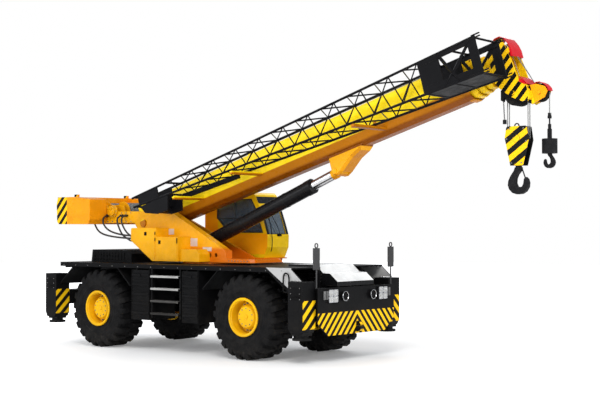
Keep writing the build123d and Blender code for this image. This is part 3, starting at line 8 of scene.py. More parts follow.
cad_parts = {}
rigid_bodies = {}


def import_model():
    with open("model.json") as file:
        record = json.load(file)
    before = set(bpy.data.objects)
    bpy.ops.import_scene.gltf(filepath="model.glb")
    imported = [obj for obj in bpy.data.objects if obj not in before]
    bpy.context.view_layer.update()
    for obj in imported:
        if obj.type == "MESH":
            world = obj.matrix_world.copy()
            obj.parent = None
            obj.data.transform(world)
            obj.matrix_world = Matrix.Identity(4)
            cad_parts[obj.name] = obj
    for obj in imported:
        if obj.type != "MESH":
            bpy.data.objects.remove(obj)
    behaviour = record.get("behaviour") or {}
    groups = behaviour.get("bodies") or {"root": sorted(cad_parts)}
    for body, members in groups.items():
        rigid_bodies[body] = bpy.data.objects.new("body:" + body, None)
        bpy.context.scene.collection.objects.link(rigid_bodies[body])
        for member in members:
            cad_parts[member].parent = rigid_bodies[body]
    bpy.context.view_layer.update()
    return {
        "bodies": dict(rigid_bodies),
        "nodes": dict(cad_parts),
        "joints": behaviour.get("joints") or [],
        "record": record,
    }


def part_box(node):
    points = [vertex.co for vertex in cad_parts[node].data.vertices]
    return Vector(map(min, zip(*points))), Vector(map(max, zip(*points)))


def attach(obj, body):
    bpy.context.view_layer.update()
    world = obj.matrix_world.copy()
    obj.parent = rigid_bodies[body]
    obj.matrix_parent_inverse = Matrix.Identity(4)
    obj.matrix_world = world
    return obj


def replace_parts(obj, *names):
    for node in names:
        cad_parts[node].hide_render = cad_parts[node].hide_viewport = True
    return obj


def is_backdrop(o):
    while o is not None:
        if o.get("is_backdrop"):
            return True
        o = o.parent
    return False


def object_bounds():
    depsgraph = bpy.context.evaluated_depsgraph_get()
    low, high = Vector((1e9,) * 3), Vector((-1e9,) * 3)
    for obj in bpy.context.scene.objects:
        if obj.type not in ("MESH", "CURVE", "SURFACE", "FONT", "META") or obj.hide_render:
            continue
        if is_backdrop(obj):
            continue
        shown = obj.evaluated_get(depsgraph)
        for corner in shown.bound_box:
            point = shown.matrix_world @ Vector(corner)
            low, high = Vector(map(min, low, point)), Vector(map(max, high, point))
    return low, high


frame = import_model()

nodes = frame["nodes"]
joints = {joint["name"]: joint for joint in frame["joints"]}


# ------------------------------------------------------------------ studio
# The crane stands on a plain pale floor that fades into a white background, under a large key
# lamp, three broad fills and a rim lamp.  The camera stands off the front right corner.
def add_node(tree, kind, **sockets):
    """A new node.  A keyword names an input or numbers it, as i0, or sets a property, as set_axis."""
    node = tree.nodes.new(kind)
    for key, value in sockets.items():
        if key.startswith("set_"):
            setattr(node, key[4:], value)
            continue
        socket = node.inputs[int(key[1:]) if key[1:].isdigit() else key.replace("_", " ")]
        if isinstance(value, bpy.types.NodeSocket):
            tree.links.new(value, socket)
        else:
            socket.default_value = value
    return node


class Recipe:
    """A material's nodes, made one at a time and wired as they are made."""

    def __init__(self, name):
        self.material = bpy.data.materials.new(name)
        self.material.use_nodes = True
        self.tree = self.material.node_tree
        self.tree.nodes.clear()
        self.place = self.add("TexCoord").outputs["Object"]

    def add(self, kind, **sockets):
        return add_node(self.tree, "ShaderNode" + kind, **sockets)

    def math(self, operation, first, second=0.0):
        return self.add("Math", set_operation=operation, i0=first, i1=second).outputs[0]

    def times(self, first, *others):
        for other in others:
            first = self.math("MULTIPLY", first, other)
        return first

    def over(self, value, limit):
        """1 where the value lies above the limit."""
        return self.math("GREATER_THAN", value, limit)

    def mix(self, share, first, second):
        return self.add("Mix", set_data_type="RGBA", i0=share, i6=first, i7=second).outputs[2]

    def noise(self, scale, detail=4.0, rough=0.6):
        return self.add("TexNoise", Vector=self.place, Scale=scale, Detail=detail,
                        Roughness=rough).outputs[0]

    def step(self, value, low, high, to_low=0.0, to_high=1.0):
        return self.add("MapRange", set_interpolation_type="SMOOTHSTEP", i0=value, i1=low, i2=high,
                        i3=to_low, i4=to_high).outputs[0]

    def cloudy(self, noise, low, high, first, second):
        """Two tones, or two readings, shared out by a noise of (scale, detail, rough)."""
        share = self.noise(*noise)
        if isinstance(first, tuple):
            return self.mix(self.step(share, low, high), first, second)
        return self.step(share, low, high, first, second)

    def axis(self, name):
        return self.add("SeparateXYZ", Vector=self.place).outputs[name]

    def facing(self, name):
        normal = self.add("NewGeometry").outputs["Normal"]
        return self.add("SeparateXYZ", Vector=normal).outputs[name]

    def worn_edge(self, radius, grain):
        """1 along the piece's outer edges, broken up by a noise."""
        normal = self.add("NewGeometry").outputs["Normal"]
        soft = self.add("Bevel", set_samples=4, Radius=radius).outputs[0]
        same = self.add("VectorMath", set_operation="DOT_PRODUCT", i0=normal, i1=soft).outputs["Value"]
        return self.times(self.step(same, 0.985, 0.80), self.step(self.noise(grain), 0.50, 0.62))

    def finish(self, colour, rough, metal=0.0, height=None, depth=0.001, rounding=0.0, coat=0.0, **extra):
        shader = self.add("BsdfPrincipled", Base_Color=colour, Roughness=rough, Metallic=metal,
                          Coat_Weight=coat, Coat_Roughness=0.12, **extra)
        if height is not None:
            bump = self.add("Bump", Height=height, Distance=depth, Strength=1.0)
            if rounding:
                soft = self.add("Bevel", set_samples=4, Radius=rounding).outputs[0]
                self.tree.links.new(soft, bump.inputs["Normal"])
            self.tree.links.new(bump.outputs[0], shader.inputs["Normal"])
        self.add("OutputMaterial", Surface=shader.outputs[0])
        return self.material


scene = bpy.context.scene
scene.view_settings.view_transform = "Standard"
scene.view_settings.look = "None"
camera = bpy.data.objects.new("camera", bpy.data.cameras.new("camera"))
camera.data.lens = 72.97
camera.data.sensor_width = 36
camera.data.clip_end = 200
camera.location = (16.93, -20.085, 2.73)
CAMERA_RISE = 0.963              # degrees above level
CAMERA_TURN = 39.578             # degrees to the left of +Y
camera.rotation_euler = (radians(90 + CAMERA_RISE), 0, radians(CAMERA_TURN))
scene.collection.objects.link(camera)
scene.camera = camera

FLOOR_REACH = 60
floor_mesh = bpy.data.meshes.new("studio_floor")
floor_corners = [(x * FLOOR_REACH, y * FLOOR_REACH, 0) for x, y in ((-1, -1), (1, -1), (1, 1), (-1, 1))]
floor_mesh.from_pydata(floor_corners, [], [(0, 1, 2, 3)])
floor = bpy.data.objects.new("studio_floor", floor_mesh)
scene.collection.objects.link(floor)
ground = Recipe("studio_floor")
away = ground.add("VectorMath", set_operation="LENGTH", i0=ground.place).outputs["Value"]
fade = ground.add("MapRange", i0=away, i1=3.5, i2=13.0, i3=0.12, i4=1.0).outputs[0]
glow = ground.times(fade, ground.add("LightPath").outputs["Is Camera Ray"])
floor_mesh.materials.append(ground.finish((0.93, 0.93, 0.93, 1), 0.9, Specular_IOR_Level=0.1,
                                          Emission_Color=(1, 1, 1, 1), Emission_Strength=glow))
floor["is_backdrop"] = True

world = bpy.data.worlds.new("studio")
scene.world = world
world.use_nodes = True
sky_tree = world.node_tree
sky_tree.nodes.clear()
ray = add_node(sky_tree, "ShaderNodeLightPath").outputs
seen = add_node(sky_tree, "ShaderNodeMath", set_operation="MAXIMUM", i0=ray["Is Camera Ray"],
                i1=ray["Is Transmission Ray"])
sky = add_node(sky_tree, "ShaderNodeBackground", Color=(0.93, 0.96, 1.0, 1), Strength=0.62)
white = add_node(sky_tree, "ShaderNodeBackground", Color=(1, 1, 1, 1), Strength=1.0)
backdrop = add_node(sky_tree, "ShaderNodeMixShader", i0=seen.outputs[0], i1=sky.outputs[0],
                    i2=white.outputs[0])
add_node(sky_tree, "ShaderNodeOutputWorld", Surface=backdrop.outputs[0])

for name, place, size, watts, tint in (
        ("key", (13, -15, 16), 8, 2900, (1, 0.98, 0.95)),
        ("fill", (-14, -18, 8), 12, 1200, (0.97, 0.98, 1)),
        ("front", (22, 2, 6), 9, 1300, (1, 1, 1)),
        ("low fill", (6, -26, 3.5), 9, 1700, (1, 1, 1)),
        ("rim", (-6, 17, 15), 9, 1000, (0.97, 0.98, 1))):
    lamp = bpy.data.lights.new(name, "AREA")
    lamp.energy = watts
    lamp.size = size
    lamp.color = tint
    holder = bpy.data.objects.new(name, lamp)
    holder.location = place
    aim = Vector((0, 0, 2)) - Vector(place)
    holder.rotation_euler = aim.to_track_quat("-Z", "Y").to_euler()
    scene.collection.objects.link(holder)


# ------------------------------------------------------------------ carrier steelwork
# Frame plates, outrigger boxes, side boxes and ladders are welded plate in satin black paint.
# The paint is thin at the plates' edges, and road dust lies on whatever faces up.
DUST = (0.20, 0.17, 0.13, 1)
STRIPE_YELLOW = (0.94, 0.55, 0.006, 1)
STRIPE_BLACK = (0.006, 0.006, 0.006, 1)


def paint(name, colour, rough, under, dust, stripes=None, areas=None, coat=0.03, gloss=0.10):
    """Sprayed paint: faint orange peel, cloudy tone, worn edges and dust that lies low and on top."""
    r = Recipe(name)
    deep = tuple(channel * 0.80 for channel in colour[:3]) + (1,)
    tone = r.cloudy((1.3, 6), 0.35, 0.65, deep, colour)
    if stripes:
        tone = stripes(r, tone)
    if areas:
        tone = areas(r, tone)
    tone = r.mix(r.times(r.worn_edge(0.012, 9), 0.8), tone, under)
    lying = r.step(r.facing("Z"), 0.55, 0.95)
    low = r.step(r.axis("Z"), 1.6, 0.3)
    film = r.math("MAXIMUM", r.times(lying, 0.7), low)
    film = r.times(film, r.step(r.noise(3.5, 8, 0.7), 0.38, 0.75), dust)
    tone = r.mix(film, tone, DUST)
    shine = r.math("ADD", r.cloudy((6, 5), 0.3, 0.7, rough - 0.06, rough + 0.08), r.times(film, 0.6))
    peel = r.noise(260, 2, 0.4)
    return r.finish(tone, shine, height=peel, depth=0.0006, rounding=0.006, coat=coat,
                    Specular_IOR_Level=gloss)


def bars(axis_weights, pitch, mirrored=False, shift=0.0):
    """Slanted warning bars: the weights give their slope, mirrored makes them meet in the middle."""
    def band(r):
        parts = r.add("SeparateXYZ", Vector=r.place).outputs
        total = shift
        for name, weight in zip("XYZ", axis_weights):
            if weight:
                reading = r.math("ABSOLUTE", parts[name]) if mirrored and name == "Y" else parts[name]
                total = r.math("ADD", r.times(reading, weight / pitch), total)
        return r.step(r.math("PINGPONG", total, 1.0), 0.49, 0.51)
    return band


def within(r, name, low, high):
    """1 where the coordinate lies between two values."""
    value = r.axis(name)
    return r.times(r.over(value, low), r.math("LESS_THAN", value, high))


def striped_where(band, name, low, high, axis, faces="front"):
    """Warning bars between two values of a coordinate, on the faces that look along an axis."""
    def lay(r, tone):
        looks = r.facing(axis)
        if faces == "both":
            looks = r.math("ABSOLUTE", looks)
        if faces == "outer":
            looks = r.times(looks, r.math("SIGN", r.axis(axis)))
        share = r.times(r.over(looks, 0.6), within(r, name, low, high))
        return r.mix(share, tone, r.mix(band(r), STRIPE_YELLOW, STRIPE_BLACK))
    return lay


def coat_node(name, material):
    """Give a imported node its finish."""
    mesh = nodes[name].data
    mesh.materials.clear()
    mesh.materials.append(material)


BLACK = (0.005, 0.005, 0.0055, 1)
RUBBED_BLACK = (0.02, 0.019, 0.018, 1)


def black(name, rough=0.42, dust=0.06, gloss=0.05, **more):
    """Satin black paint, rubbed to grey at its edges."""
    return paint(name, BLACK, rough, RUBBED_BLACK, dust, coat=0.0, gloss=gloss, **more)


black_paint = black("black paint")
for name in ("chassis_frame", "outrigger_boxes", "side_boxes", "ladders"):
    coat_node(name, black_paint)


class Made:
    """A piece built up in one mesh, in the crane's own frame, then finished once."""

    def __init__(self, name):
        self.name = name
        self.bm = bmesh.new()

    def box(self, low, high):
        made = bmesh.ops.create_cube(self.bm, size=1)["verts"]
        middle = (Vector(low) + Vector(high)) / 2
        size = Vector(high) - Vector(low)
        for vertex in made:
            vertex.co = Vector(value * side for value, side in zip(vertex.co, size)) + middle
        return self

    def prism(self, outline, shift):
        """Flat outline of points, raised by a vector."""
        shift = Vector(shift)
        near = [self.bm.verts.new(point) for point in outline]
        far = [self.bm.verts.new(Vector(point) + shift) for point in outline]
        faces = [self.bm.faces.new(near), self.bm.faces.new(far[::-1])]
        count = len(outline)
        for n in range(count):
            faces.append(self.bm.faces.new((near[n], far[n], far[(n + 1) % count], near[(n + 1) % count])))
        bmesh.ops.recalc_face_normals(self.bm, faces=faces)
        return self

    def plate(self, outline, y_low, y_high):
        """Outline in X and Z, between two values of Y."""
        return self.prism([(x, y_low, z) for x, z in outline], (0, y_high - y_low, 0))

    def bar(self, start, end, radius, sides=12, tip=None):
        """Round bar, or a cone where tip gives the far radius."""
        start, end = Vector(start), Vector(end)
        turn = (end - start).to_track_quat("Z", "Y").to_matrix().to_4x4()
        place = Matrix.Translation((start + end) / 2) @ turn
        bmesh.ops.create_cone(self.bm, cap_ends=True, segments=sides, radius1=radius,
                              radius2=radius if tip is None else tip, depth=(end - start).length,
                              matrix=place)
        return self

    def turned(self, profile, centre, axis, steps=64):
        """Closed profile of (radius, distance along the axis), turned about it."""
        turn = Vector(axis).to_track_quat("Z", "Y").to_matrix().to_4x4()
        place = Matrix.Translation(centre) @ turn
        rings = []
        for n in range(steps):
            angle = 2 * pi * n / steps
            spots = [Vector((radius * cos(angle), radius * sin(angle), along)) for radius, along in profile]
            rings.append([self.bm.verts.new(place @ spot) for spot in spots])
        faces = []
        for n in range(steps):
            here, there = rings[n], rings[(n + 1) % steps]
            for m in range(len(profile)):
                k = (m + 1) % len(profile)
                corners = [here[m], here[k], there[k], there[m]]
                if profile[m][0] == 0 and profile[k][0] == 0:
                    continue
                faces.append(self.bm.faces.new(corners))
        bmesh.ops.remove_doubles(self.bm, verts=[v for ring in rings for v in ring], dist=1e-6)
        faces = [face for face in faces if face.is_valid]
        bmesh.ops.recalc_face_normals(self.bm, faces=faces)
        return self

    def pin(self, radius, low, high, centre, axis, steps):
        """Solid round pin between two distances along its axis."""
        return self.turned([(0, low), (radius, low), (radius, high), (0, high)], centre, axis, steps)

    def tube(self, points, radius, sides=10, smooth=True):
        """Round tube that follows points, on a smooth spline or straight from one to the next."""
        route = bpy.data.curves.new("route", "CURVE")
        route.dimensions = "3D"
        spline = route.splines.new("NURBS" if smooth else "POLY")
        spline.points.add(len(points) - 1)
        for point, target in zip(spline.points, points):
            point.co = (*target, 1)
        if smooth:
            spline.order_u = 3
            spline.use_endpoint_u = True
            route.resolution_u = 6
        route.bevel_depth = radius
        route.bevel_resolution = max(1, sides // 4 - 1)
        route.use_fill_caps = True
        holder = bpy.data.objects.new("route", route)
        mesh = bpy.data.meshes.new_from_object(holder)
        self.bm.from_mesh(mesh)
        bpy.data.objects.remove(holder)
        bpy.data.curves.remove(route)
        bpy.data.meshes.remove(mesh)
        return self

    def mesh(self, angle=32):
        data = bpy.data.meshes.new(self.name)
        self.bm.to_mesh(data)
        self.bm.free()
        data.shade_smooth()
        data.set_sharp_from_angle(angle=radians(angle))
        return data

    def done(self, material, body, slot, bevel=0.0, angle=32):
        """Turn the mesh into a piece that rides on a body."""
        data = self.mesh(angle)
        data.materials.append(material)
        piece = bpy.data.objects.new(self.name, data)
        bpy.context.scene.collection.objects.link(piece)
        if bevel:
            round_off = piece.modifiers.new("edges", "BEVEL")
            round_off.width = bevel
            round_off.segments = 2
            round_off.limit_method = "ANGLE"
            round_off.harden_normals = True
        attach(piece, body)
        return piece


class Repeat:
    """A Geometry Nodes tree that sets copies of a pattern mesh on points and ends as one plain mesh."""

    def __init__(self, name, pattern, points, **inputs):
        self.piece = bpy.data.objects.new(name, points)
        self.source = bpy.data.objects.new(name + "_pattern", pattern)
        for each in (self.piece, self.source):
            bpy.context.scene.collection.objects.link(each)
        self.tree = bpy.data.node_groups.new(name, "GeometryNodeTree")
        socket = self.tree.interface.new_socket
        socket("Points", in_out="INPUT", socket_type="NodeSocketGeometry")
        self.inputs = {}
        for label, (kind, value) in inputs.items():
            self.inputs[socket(label, in_out="INPUT", socket_type="NodeSocket" + kind).identifier] = value
        socket("Copies", in_out="OUTPUT", socket_type="NodeSocketGeometry")
        self.given = self.add("NodeGroupInput").outputs

    def add(self, kind, **sockets):
        return add_node(self.tree, kind, **sockets)

    def done(self, points, turn, size, material, body, slot):
        """Set the copies, realize them and let the plain mesh ride on its body."""
        shape = self.add("GeometryNodeObjectInfo", Object=self.source).outputs["Geometry"]
        placed = self.add("GeometryNodeInstanceOnPoints", Points=points, Instance=shape, Rotation=turn,
                          Scale=size)
        real = self.add("GeometryNodeRealizeInstances", Geometry=placed.outputs[0])
        coat = self.add("GeometryNodeSetMaterial", Geometry=real.outputs[0], Material=material)
        self.add("NodeGroupOutput", Copies=coat.outputs[0])
        modifier = self.piece.modifiers.new("copies", "NODES")
        modifier.node_group = self.tree
        for identifier, value in self.inputs.items():
            modifier[identifier] = value
        bpy.context.view_layer.update()
        solved = self.piece.evaluated_get(bpy.context.evaluated_depsgraph_get())
        result = bpy.data.meshes.new_from_object(solved)
        self.piece.modifiers.clear()
        self.piece.data = result
        bpy.data.objects.remove(self.source)
        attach(self.piece, body)


def copies(name, pattern, spots, material, body, slot):
    """One small pattern mesh set on many spots, each a place and the direction it faces."""
    layout = bpy.data.meshes.new(name + "_spots")
    layout.from_pydata([place for place, _ in spots], [], [])
    facing = layout.attributes.new("facing", "FLOAT_VECTOR", "POINT")
    for entry, (_, direction) in zip(facing.data, spots):
        entry.vector = direction
    made = Repeat(name, pattern, layout, Size=("Float", 1.0))
    look = made.add("GeometryNodeInputNamedAttribute", set_data_type="FLOAT_VECTOR", Name="facing")
    turn = made.add("FunctionNodeAlignRotationToVector", set_axis="Z", Vector=look.outputs["Attribute"])
    made.done(made.given["Points"], turn.outputs["Rotation"], made.given["Size"], material, body, slot)


def ring(name, pattern, count, centre, first_turn, material, body, slot):
    """One pattern mesh repeated round an axis through centre that lies along Y."""
    seed = bpy.data.meshes.new(name + "_seed")
    seed.from_pydata([(0, 0, 0)], [], [])
    made = Repeat(name, pattern, seed, Count=("Int", count), First=("Float", first_turn))
    line = made.add("GeometryNodeMeshLine", Count=made.given["Count"], Start_Location=centre,
                    Offset=(0, 0, 0))
    index = made.add("GeometryNodeInputIndex").outputs[0]
    share = made.add("ShaderNodeMath", set_operation="DIVIDE", i0=index, i1=made.given["Count"]).outputs[0]
    angle = made.add("ShaderNodeMath", set_operation="MULTIPLY_ADD", i0=share, i1=2 * pi,
                     i2=made.given["First"])
    turn = made.add("ShaderNodeCombineXYZ", Y=angle.outputs[0])
    made.done(line.outputs["Mesh"], turn.outputs[0], (1, 1, 1), material, body, slot)


# ------------------------------------------------------------------ wheels
# Earthmover tyres of black rubber with two staggered rows of deep shoulder lugs, on deep-dished
# steel rims in yellow paint with a locking ring, a ring of wheel nuts and a bolted hub cover.
CORNERS = ("front_right", "front_left", "rear_right", "rear_left")
LUGS = 22                        # round each tyre, in each of its two rows


def rubber(name):
    """Tyre rubber: dull black, paler where it has rubbed and dusty near the ground."""
    r = Recipe(name)
    tone = r.cloudy((4, 8, 0.7), 0.35, 0.7, (0.0035, 0.0035, 0.004, 1), (0.011, 0.0105, 0.0105, 1))
    rub = r.times(r.worn_edge(0.02, 14), 0.5)
    tone = r.mix(rub, tone, (0.035, 0.032, 0.029, 1))
    low = r.times(r.step(r.axis("Z"), 0.55, 0.02), r.step(r.noise(7, 8, 0.75), 0.42, 0.72))
    tone = r.mix(r.times(low, 0.5), tone, (0.055, 0.048, 0.040, 1))
    grain = r.math("ADD", r.noise(180, 3), r.times(r.noise(28, 5), 0.7))
    return r.finish(tone, r.cloudy((11, 5), 0.3, 0.7, 0.62, 0.82), height=grain, depth=0.0012,
                    rounding=0.008, Specular_IOR_Level=0.10)


tyre_rubber = rubber("tyre rubber")


def box_of(name):
    """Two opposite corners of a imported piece."""
    return [Vector(point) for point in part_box(name)]


def lug_mesh(half, radius, body_radius, way):
    """One lug at the top of a tyre: it leans, widens to the shoulder and runs down over it."""
    lug = Made("lug")
    rows = []
    for along, height, wide, lean in ((0.02, radius, 0.036, 0.0), (0.13, radius, 0.044, 0.010),
                                      (half - 0.085, radius - 0.004, 0.056, 0.030),
                                      (half - 0.022, radius - 0.060, 0.060, 0.034),
                                      (half - 0.004, radius - 0.155, 0.052, 0.034)):
        y = way * along
        foot = min(body_radius - 0.02, height - 0.035)
        rows.append([(lean - wide, y, height), (lean + wide, y, height),
                     (lean + wide * 1.22, y * 0.985, foot), (lean - wide * 1.22, y * 0.985, foot)])
    bm = lug.bm
    made = [[bm.verts.new(point) for point in row] for row in rows]
    faces = [bm.faces.new(made[0]), bm.faces.new(made[-1][::-1])]
    for here, there in zip(made[:-1], made[1:]):
        for n in range(4):
            faces.append(bm.faces.new((here[n], there[n], there[(n + 1) % 4], here[(n + 1) % 4])))
    bmesh.ops.recalc_face_normals(bm, faces=faces)
    bmesh.ops.bevel(bm, geom=list(bm.edges), offset=0.006, segments=1, affect="EDGES")
    return lug.mesh(40)


for corner in CORNERS:
    low, high = box_of("tyre_" + corner)
    centre = (low + high) / 2
    body = "wheel_" + corner
    half = (high.y - low.y) / 2
    radius = (high.z - low.z) / 2
    casing = radius - 0.052
    rim_low, rim_high = box_of("rim_" + corner)
    flange = (rim_high.z - rim_low.z) / 2
    side = [(casing, 0.0), (casing - 0.004, half * 0.45), (casing - 0.022, half - 0.075),
            (casing - 0.060, half - 0.030), (casing - 0.120, half - 0.008), (casing - 0.190, half - 0.001),
            (casing - 0.205, half - 0.006), (casing - 0.225, half - 0.001), (casing - 0.290, half - 0.010),
            (casing - 0.300, half - 0.004), (casing - 0.316, half - 0.014), (flange + 0.045, half - 0.034),
            (flange + 0.030, half - 0.026), (flange + 0.006, half - 0.044), (flange + 0.001, half - 0.09),
            (flange - 0.030, half - 0.095)]
    profile = side + [(radius_here, -along) for radius_here, along in side[:0:-1]]
    tyre = Made("tyre_casing_" + corner)
    tyre.turned(profile, centre, (0, 1, 0), 112)
    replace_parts(tyre.done(tyre_rubber, body, "tyre", angle=28), "tyre_" + corner)
    for way, turn in ((1, 0.0), (-1, pi / LUGS)):
        row = f"tyre_lugs_{corner}_{'outer' if way > 0 else 'inner'}"
        ring(row, lug_mesh(half, radius - 0.001, casing, way), LUGS, centre, turn, tyre_rubber, body,
             "tyre")


def yellow(name, colour, rough, dust, **more):
    """Yellow or orange gloss paint over a rust-brown primer that shows at its edges."""
    return paint(name, colour, rough, (0.45, 0.16, 0.01, 1), dust, **more)


rim_paint = yellow("rim paint", (0.88, 0.48, 0.004, 1), rough=0.30, dust=0.10)


def hex_head(across, high):
    """Hexagon bolt head on a washer, standing on its own origin along Z."""
    bolt = Made("bolt")
    bolt.bar((0, 0, 0), (0, 0, high * 0.22), across * 0.72, 14)
    bolt.bar((0, 0, high * 0.2), (0, 0, high * 0.86), across * 0.56, 6)
    bolt.bar((0, 0, high * 0.86), (0, 0, high), across * 0.52, 6, across * 0.40)
    return bolt.mesh(30)


def bolt_circle(centre, radius, count, faces, first=0.0):
    """Spots for bolts on a circle that faces along X or along Y."""
    across = Vector((1, 0, 0)) if faces[1] else Vector((0, 1, 0))
    turns = [2 * pi * (n + first) / count for n in range(count)]
    return [(Vector(centre) + across * radius * cos(turn) + Vector((0, 0, radius * sin(turn))), faces)
            for turn in turns]


bolt_steel = paint("bolt zinc", (0.24, 0.24, 0.24, 1), rough=0.42, under=(0.10, 0.06, 0.035, 1),
                   dust=0.25, coat=0.0)


def bolts(name, across, high, spots, body):
    """Zinc-plated bolts, one at each spot, each standing the way its spot faces."""
    copies(name, hex_head(across, high), spots, bolt_steel, body, "steel")


for corner in CORNERS:
    coat_node("rim_" + corner, rim_paint)
    coat_node("knuckle_" + corner, black_paint)
    hub = Vector(joints["roll_" + corner]["pos_m"])
    way = -1 if "right" in corner else 1
    outward = Vector((0, way, 0))
    body = "wheel_" + corner
    nuts = bolt_circle(hub + outward * 0.100, 0.292, 20, outward)
    bolts("wheel_nuts_" + corner, 0.032, 0.034, nuts, body)
    cover = hub + outward * 0.259
    bolts("hub_bolts_" + corner, 0.018, 0.016, bolt_circle(cover, 0.178, 10, outward, 0.5), body)
    trim = Made("hub_trim_" + corner)
    trim.turned([(0.0, 0.0), (0.052, 0.0), (0.048, 0.014), (0.0, 0.018)], cover, outward, 24)
    trim.turned([(0.352, -0.006), (0.398, -0.004), (0.399, 0.006), (0.389, 0.012), (0.360, 0.008),
                 (0.352, 0.0)], hub + outward * 0.353, outward, 96)
    stem = hub + outward * 0.16 + Vector((0.315, 0, 0.03))
    trim.bar(stem, stem + outward * 0.12 + Vector((-0.02, 0, 0)), 0.008, 10)
    trim.done(rim_paint, body, "yellow")


# ------------------------------------------------------------------ axles and engine
# Cast axle housings and the engine between the frame plates are in the same black, more matt
# and dirtier, with a bolted differential cover and a drive shaft on each axle.
def casting(name, colour, rough=0.62):
    """Painted sand casting: pebbled skin, grime in its hollows, rubbed where it stands out."""
    r = Recipe(name)
    tone = r.cloudy((5, 8, 0.7), 0.35, 0.7, colour, tuple(c * 1.6 + 0.002 for c in colour[:3]) + (1,))
    tone = r.mix(r.times(r.step(r.noise(9, 8, 0.8), 0.5, 0.75), 0.40), tone, (0.035, 0.030, 0.024, 1))
    tone = r.mix(r.times(r.worn_edge(0.01, 12), 0.5), tone, (0.07, 0.066, 0.062, 1))
    grain = r.math("ADD", r.noise(120, 4), r.noise(420, 2))
    return r.finish(tone, r.cloudy((8,), 0.3, 0.7, rough - 0.1, rough + 0.15), height=grain, depth=0.0012,
                    rounding=0.012, Specular_IOR_Level=0.12)


axle_casting = casting("axle casting", (0.006, 0.006, 0.006, 1))
for name in ("front_axle", "rear_axle", "engine_block"):
    coat_node(name, axle_casting)
for end in ("front", "rear"):
    low, high = box_of(end + "_axle")
    middle = (low + high) / 2
    way = 1 if end == "front" else -1
    cover = Made("differential_cover_" + end)
    face = high.x if way > 0 else low.x
    cover.turned([(0, -0.03), (0.150, -0.03), (0.150, 0.012), (0.110, 0.030), (0.035, 0.044), (0, 0.044)],
                 (face - way * 0.012, middle.y, middle.z), (way, 0, 0), 40)
    cover.bar((middle.x - way * 0.20, 0, middle.z + 0.05), (middle.x - way * 0.62, 0, middle.z + 0.20),
              0.05, 20)
    cover.done(axle_casting, "carrier", "cast", bevel=0.003)
    spots = bolt_circle((face - way * 0.002, 0, middle.z), 0.128, 12, (way, 0, 0))
    bolts("differential_bolts_" + end, 0.014, 0.014, spots, "carrier")


# ------------------------------------------------------------------ deck, hoods and steps
# The front hood's top and the deck's side panels ahead of the front wheels are pale grey sheet;
# the engine hood is black with raised panels.  Toothed steel treads lie on the ladders' rungs.
slew_x = joints["slew"]["pos_m"][0]


def hood_two_tone(r, tone):
    """The hood is grey on top and black down its sides."""
    up = r.step(r.facing("Z"), 0.45, 0.55)
    return r.mix(up, BLACK, tone)


def deck_tone(r, tone):
    """The side panels ahead of the front wheels are pale grey inside a black arch edge."""
    parts = r.add("SeparateXYZ", Vector=r.place).outputs
    run, rise = 0.563, 0.826
    slope = r.math("ADD", r.times(parts["X"], run), r.times(parts["Z"], rise))
    ahead = r.over(slope, run * (slew_x + 2.87) + rise * 1.86 + 0.075)
    outer = r.over(r.math("ABSOLUTE", r.facing("Y")), 0.7)
    edge = r.over(r.math("ABSOLUTE", parts["Y"]), 1.50)
    return r.mix(r.times(ahead, outer, edge), tone, (0.42, 0.42, 0.42, 1))


coat_node("deck", black("deck paint", areas=deck_tone))
coat_node("front_hood", paint("front hood paint", (0.80, 0.81, 0.81, 1), rough=0.22,
                              under=(0.10, 0.085, 0.07, 1), dust=0.06, coat=0.15, areas=hood_two_tone))
coat_node("engine_hood", black_paint)

low, high = box_of("engine_hood")
hood = Made("engine_hood_panels")
for side in (-1, 1):
    y = side * 0.813
    for n in range(3):
        x = low.x + 0.12 + n * 0.28
        hood.box((x, y - 0.008, 2.00), (x + 0.24, y + 0.008, 2.03))
        hood.box((x, y - 0.008, 2.09), (x + 0.24, y + 0.008, 2.115))
    for x in (low.x + 0.10, low.x + 0.53, low.x + 0.90):
        hood.box((x, y - 0.006, 1.96), (x + 0.03, y + 0.010, 2.125))
hood.turned([(0.062, 0.0), (0.075, 0.02), (0.075, 0.20), (0.062, 0.22)], (slew_x - 2.56, 0.43, 2.20),
            (0, 0, 1), 32)
hood.done(black_paint, "carrier", "dark", bevel=0.003)


def tread_tone(r, tone):
    """The lower treads are darker, the upper ones bright."""
    return r.mix(r.step(r.axis("Z"), 1.50, 1.05), tone, (0.022, 0.021, 0.020, 1))


tread_steel = paint("tread steel", (0.42, 0.42, 0.41, 1), rough=0.45, under=(0.2, 0.18, 0.16, 1),
                    dust=0.20, coat=0.0, areas=tread_tone)
low, high = box_of("ladders")
RUNGS = [0.870 + n * 0.27 for n in range(4)]
TREAD_THICK = 0.006
LADDER_SIDE = 1.592              # how far the treads reach out, in Y
treads = Made("ladder_treads")
for side in (-1, 1):
    for z in RUNGS:
        treads.box((low.x + 0.03, side * LADDER_SIDE, z), (high.x - 0.03, side * 1.440, z + TREAD_THICK))
        treads.box((low.x + 0.03, side * (LADDER_SIDE + 0.002), z - 0.035),
                   (high.x - 0.03, side * (LADDER_SIDE - 0.002), z + TREAD_THICK))
treads.done(tread_steel, "carrier", "grey", bevel=0.002)
tooth = Made("tooth")
tooth.turned([(0.004, 0.0), (0.009, 0.0), (0.008, 0.005), (0.005, 0.005)], (0, 0, 0), (0, 0, 1), 10)
spots = [((low.x + 0.06 + k * 0.032, side * (1.470 + row * 0.045), z + TREAD_THICK), (0, 0, 1))
         for side in (-1, 1) for z in RUNGS for k in range(26) for row in range(3)]
copies("ladder_grip", tooth.mesh(), spots, tread_steel, "carrier", "grey")


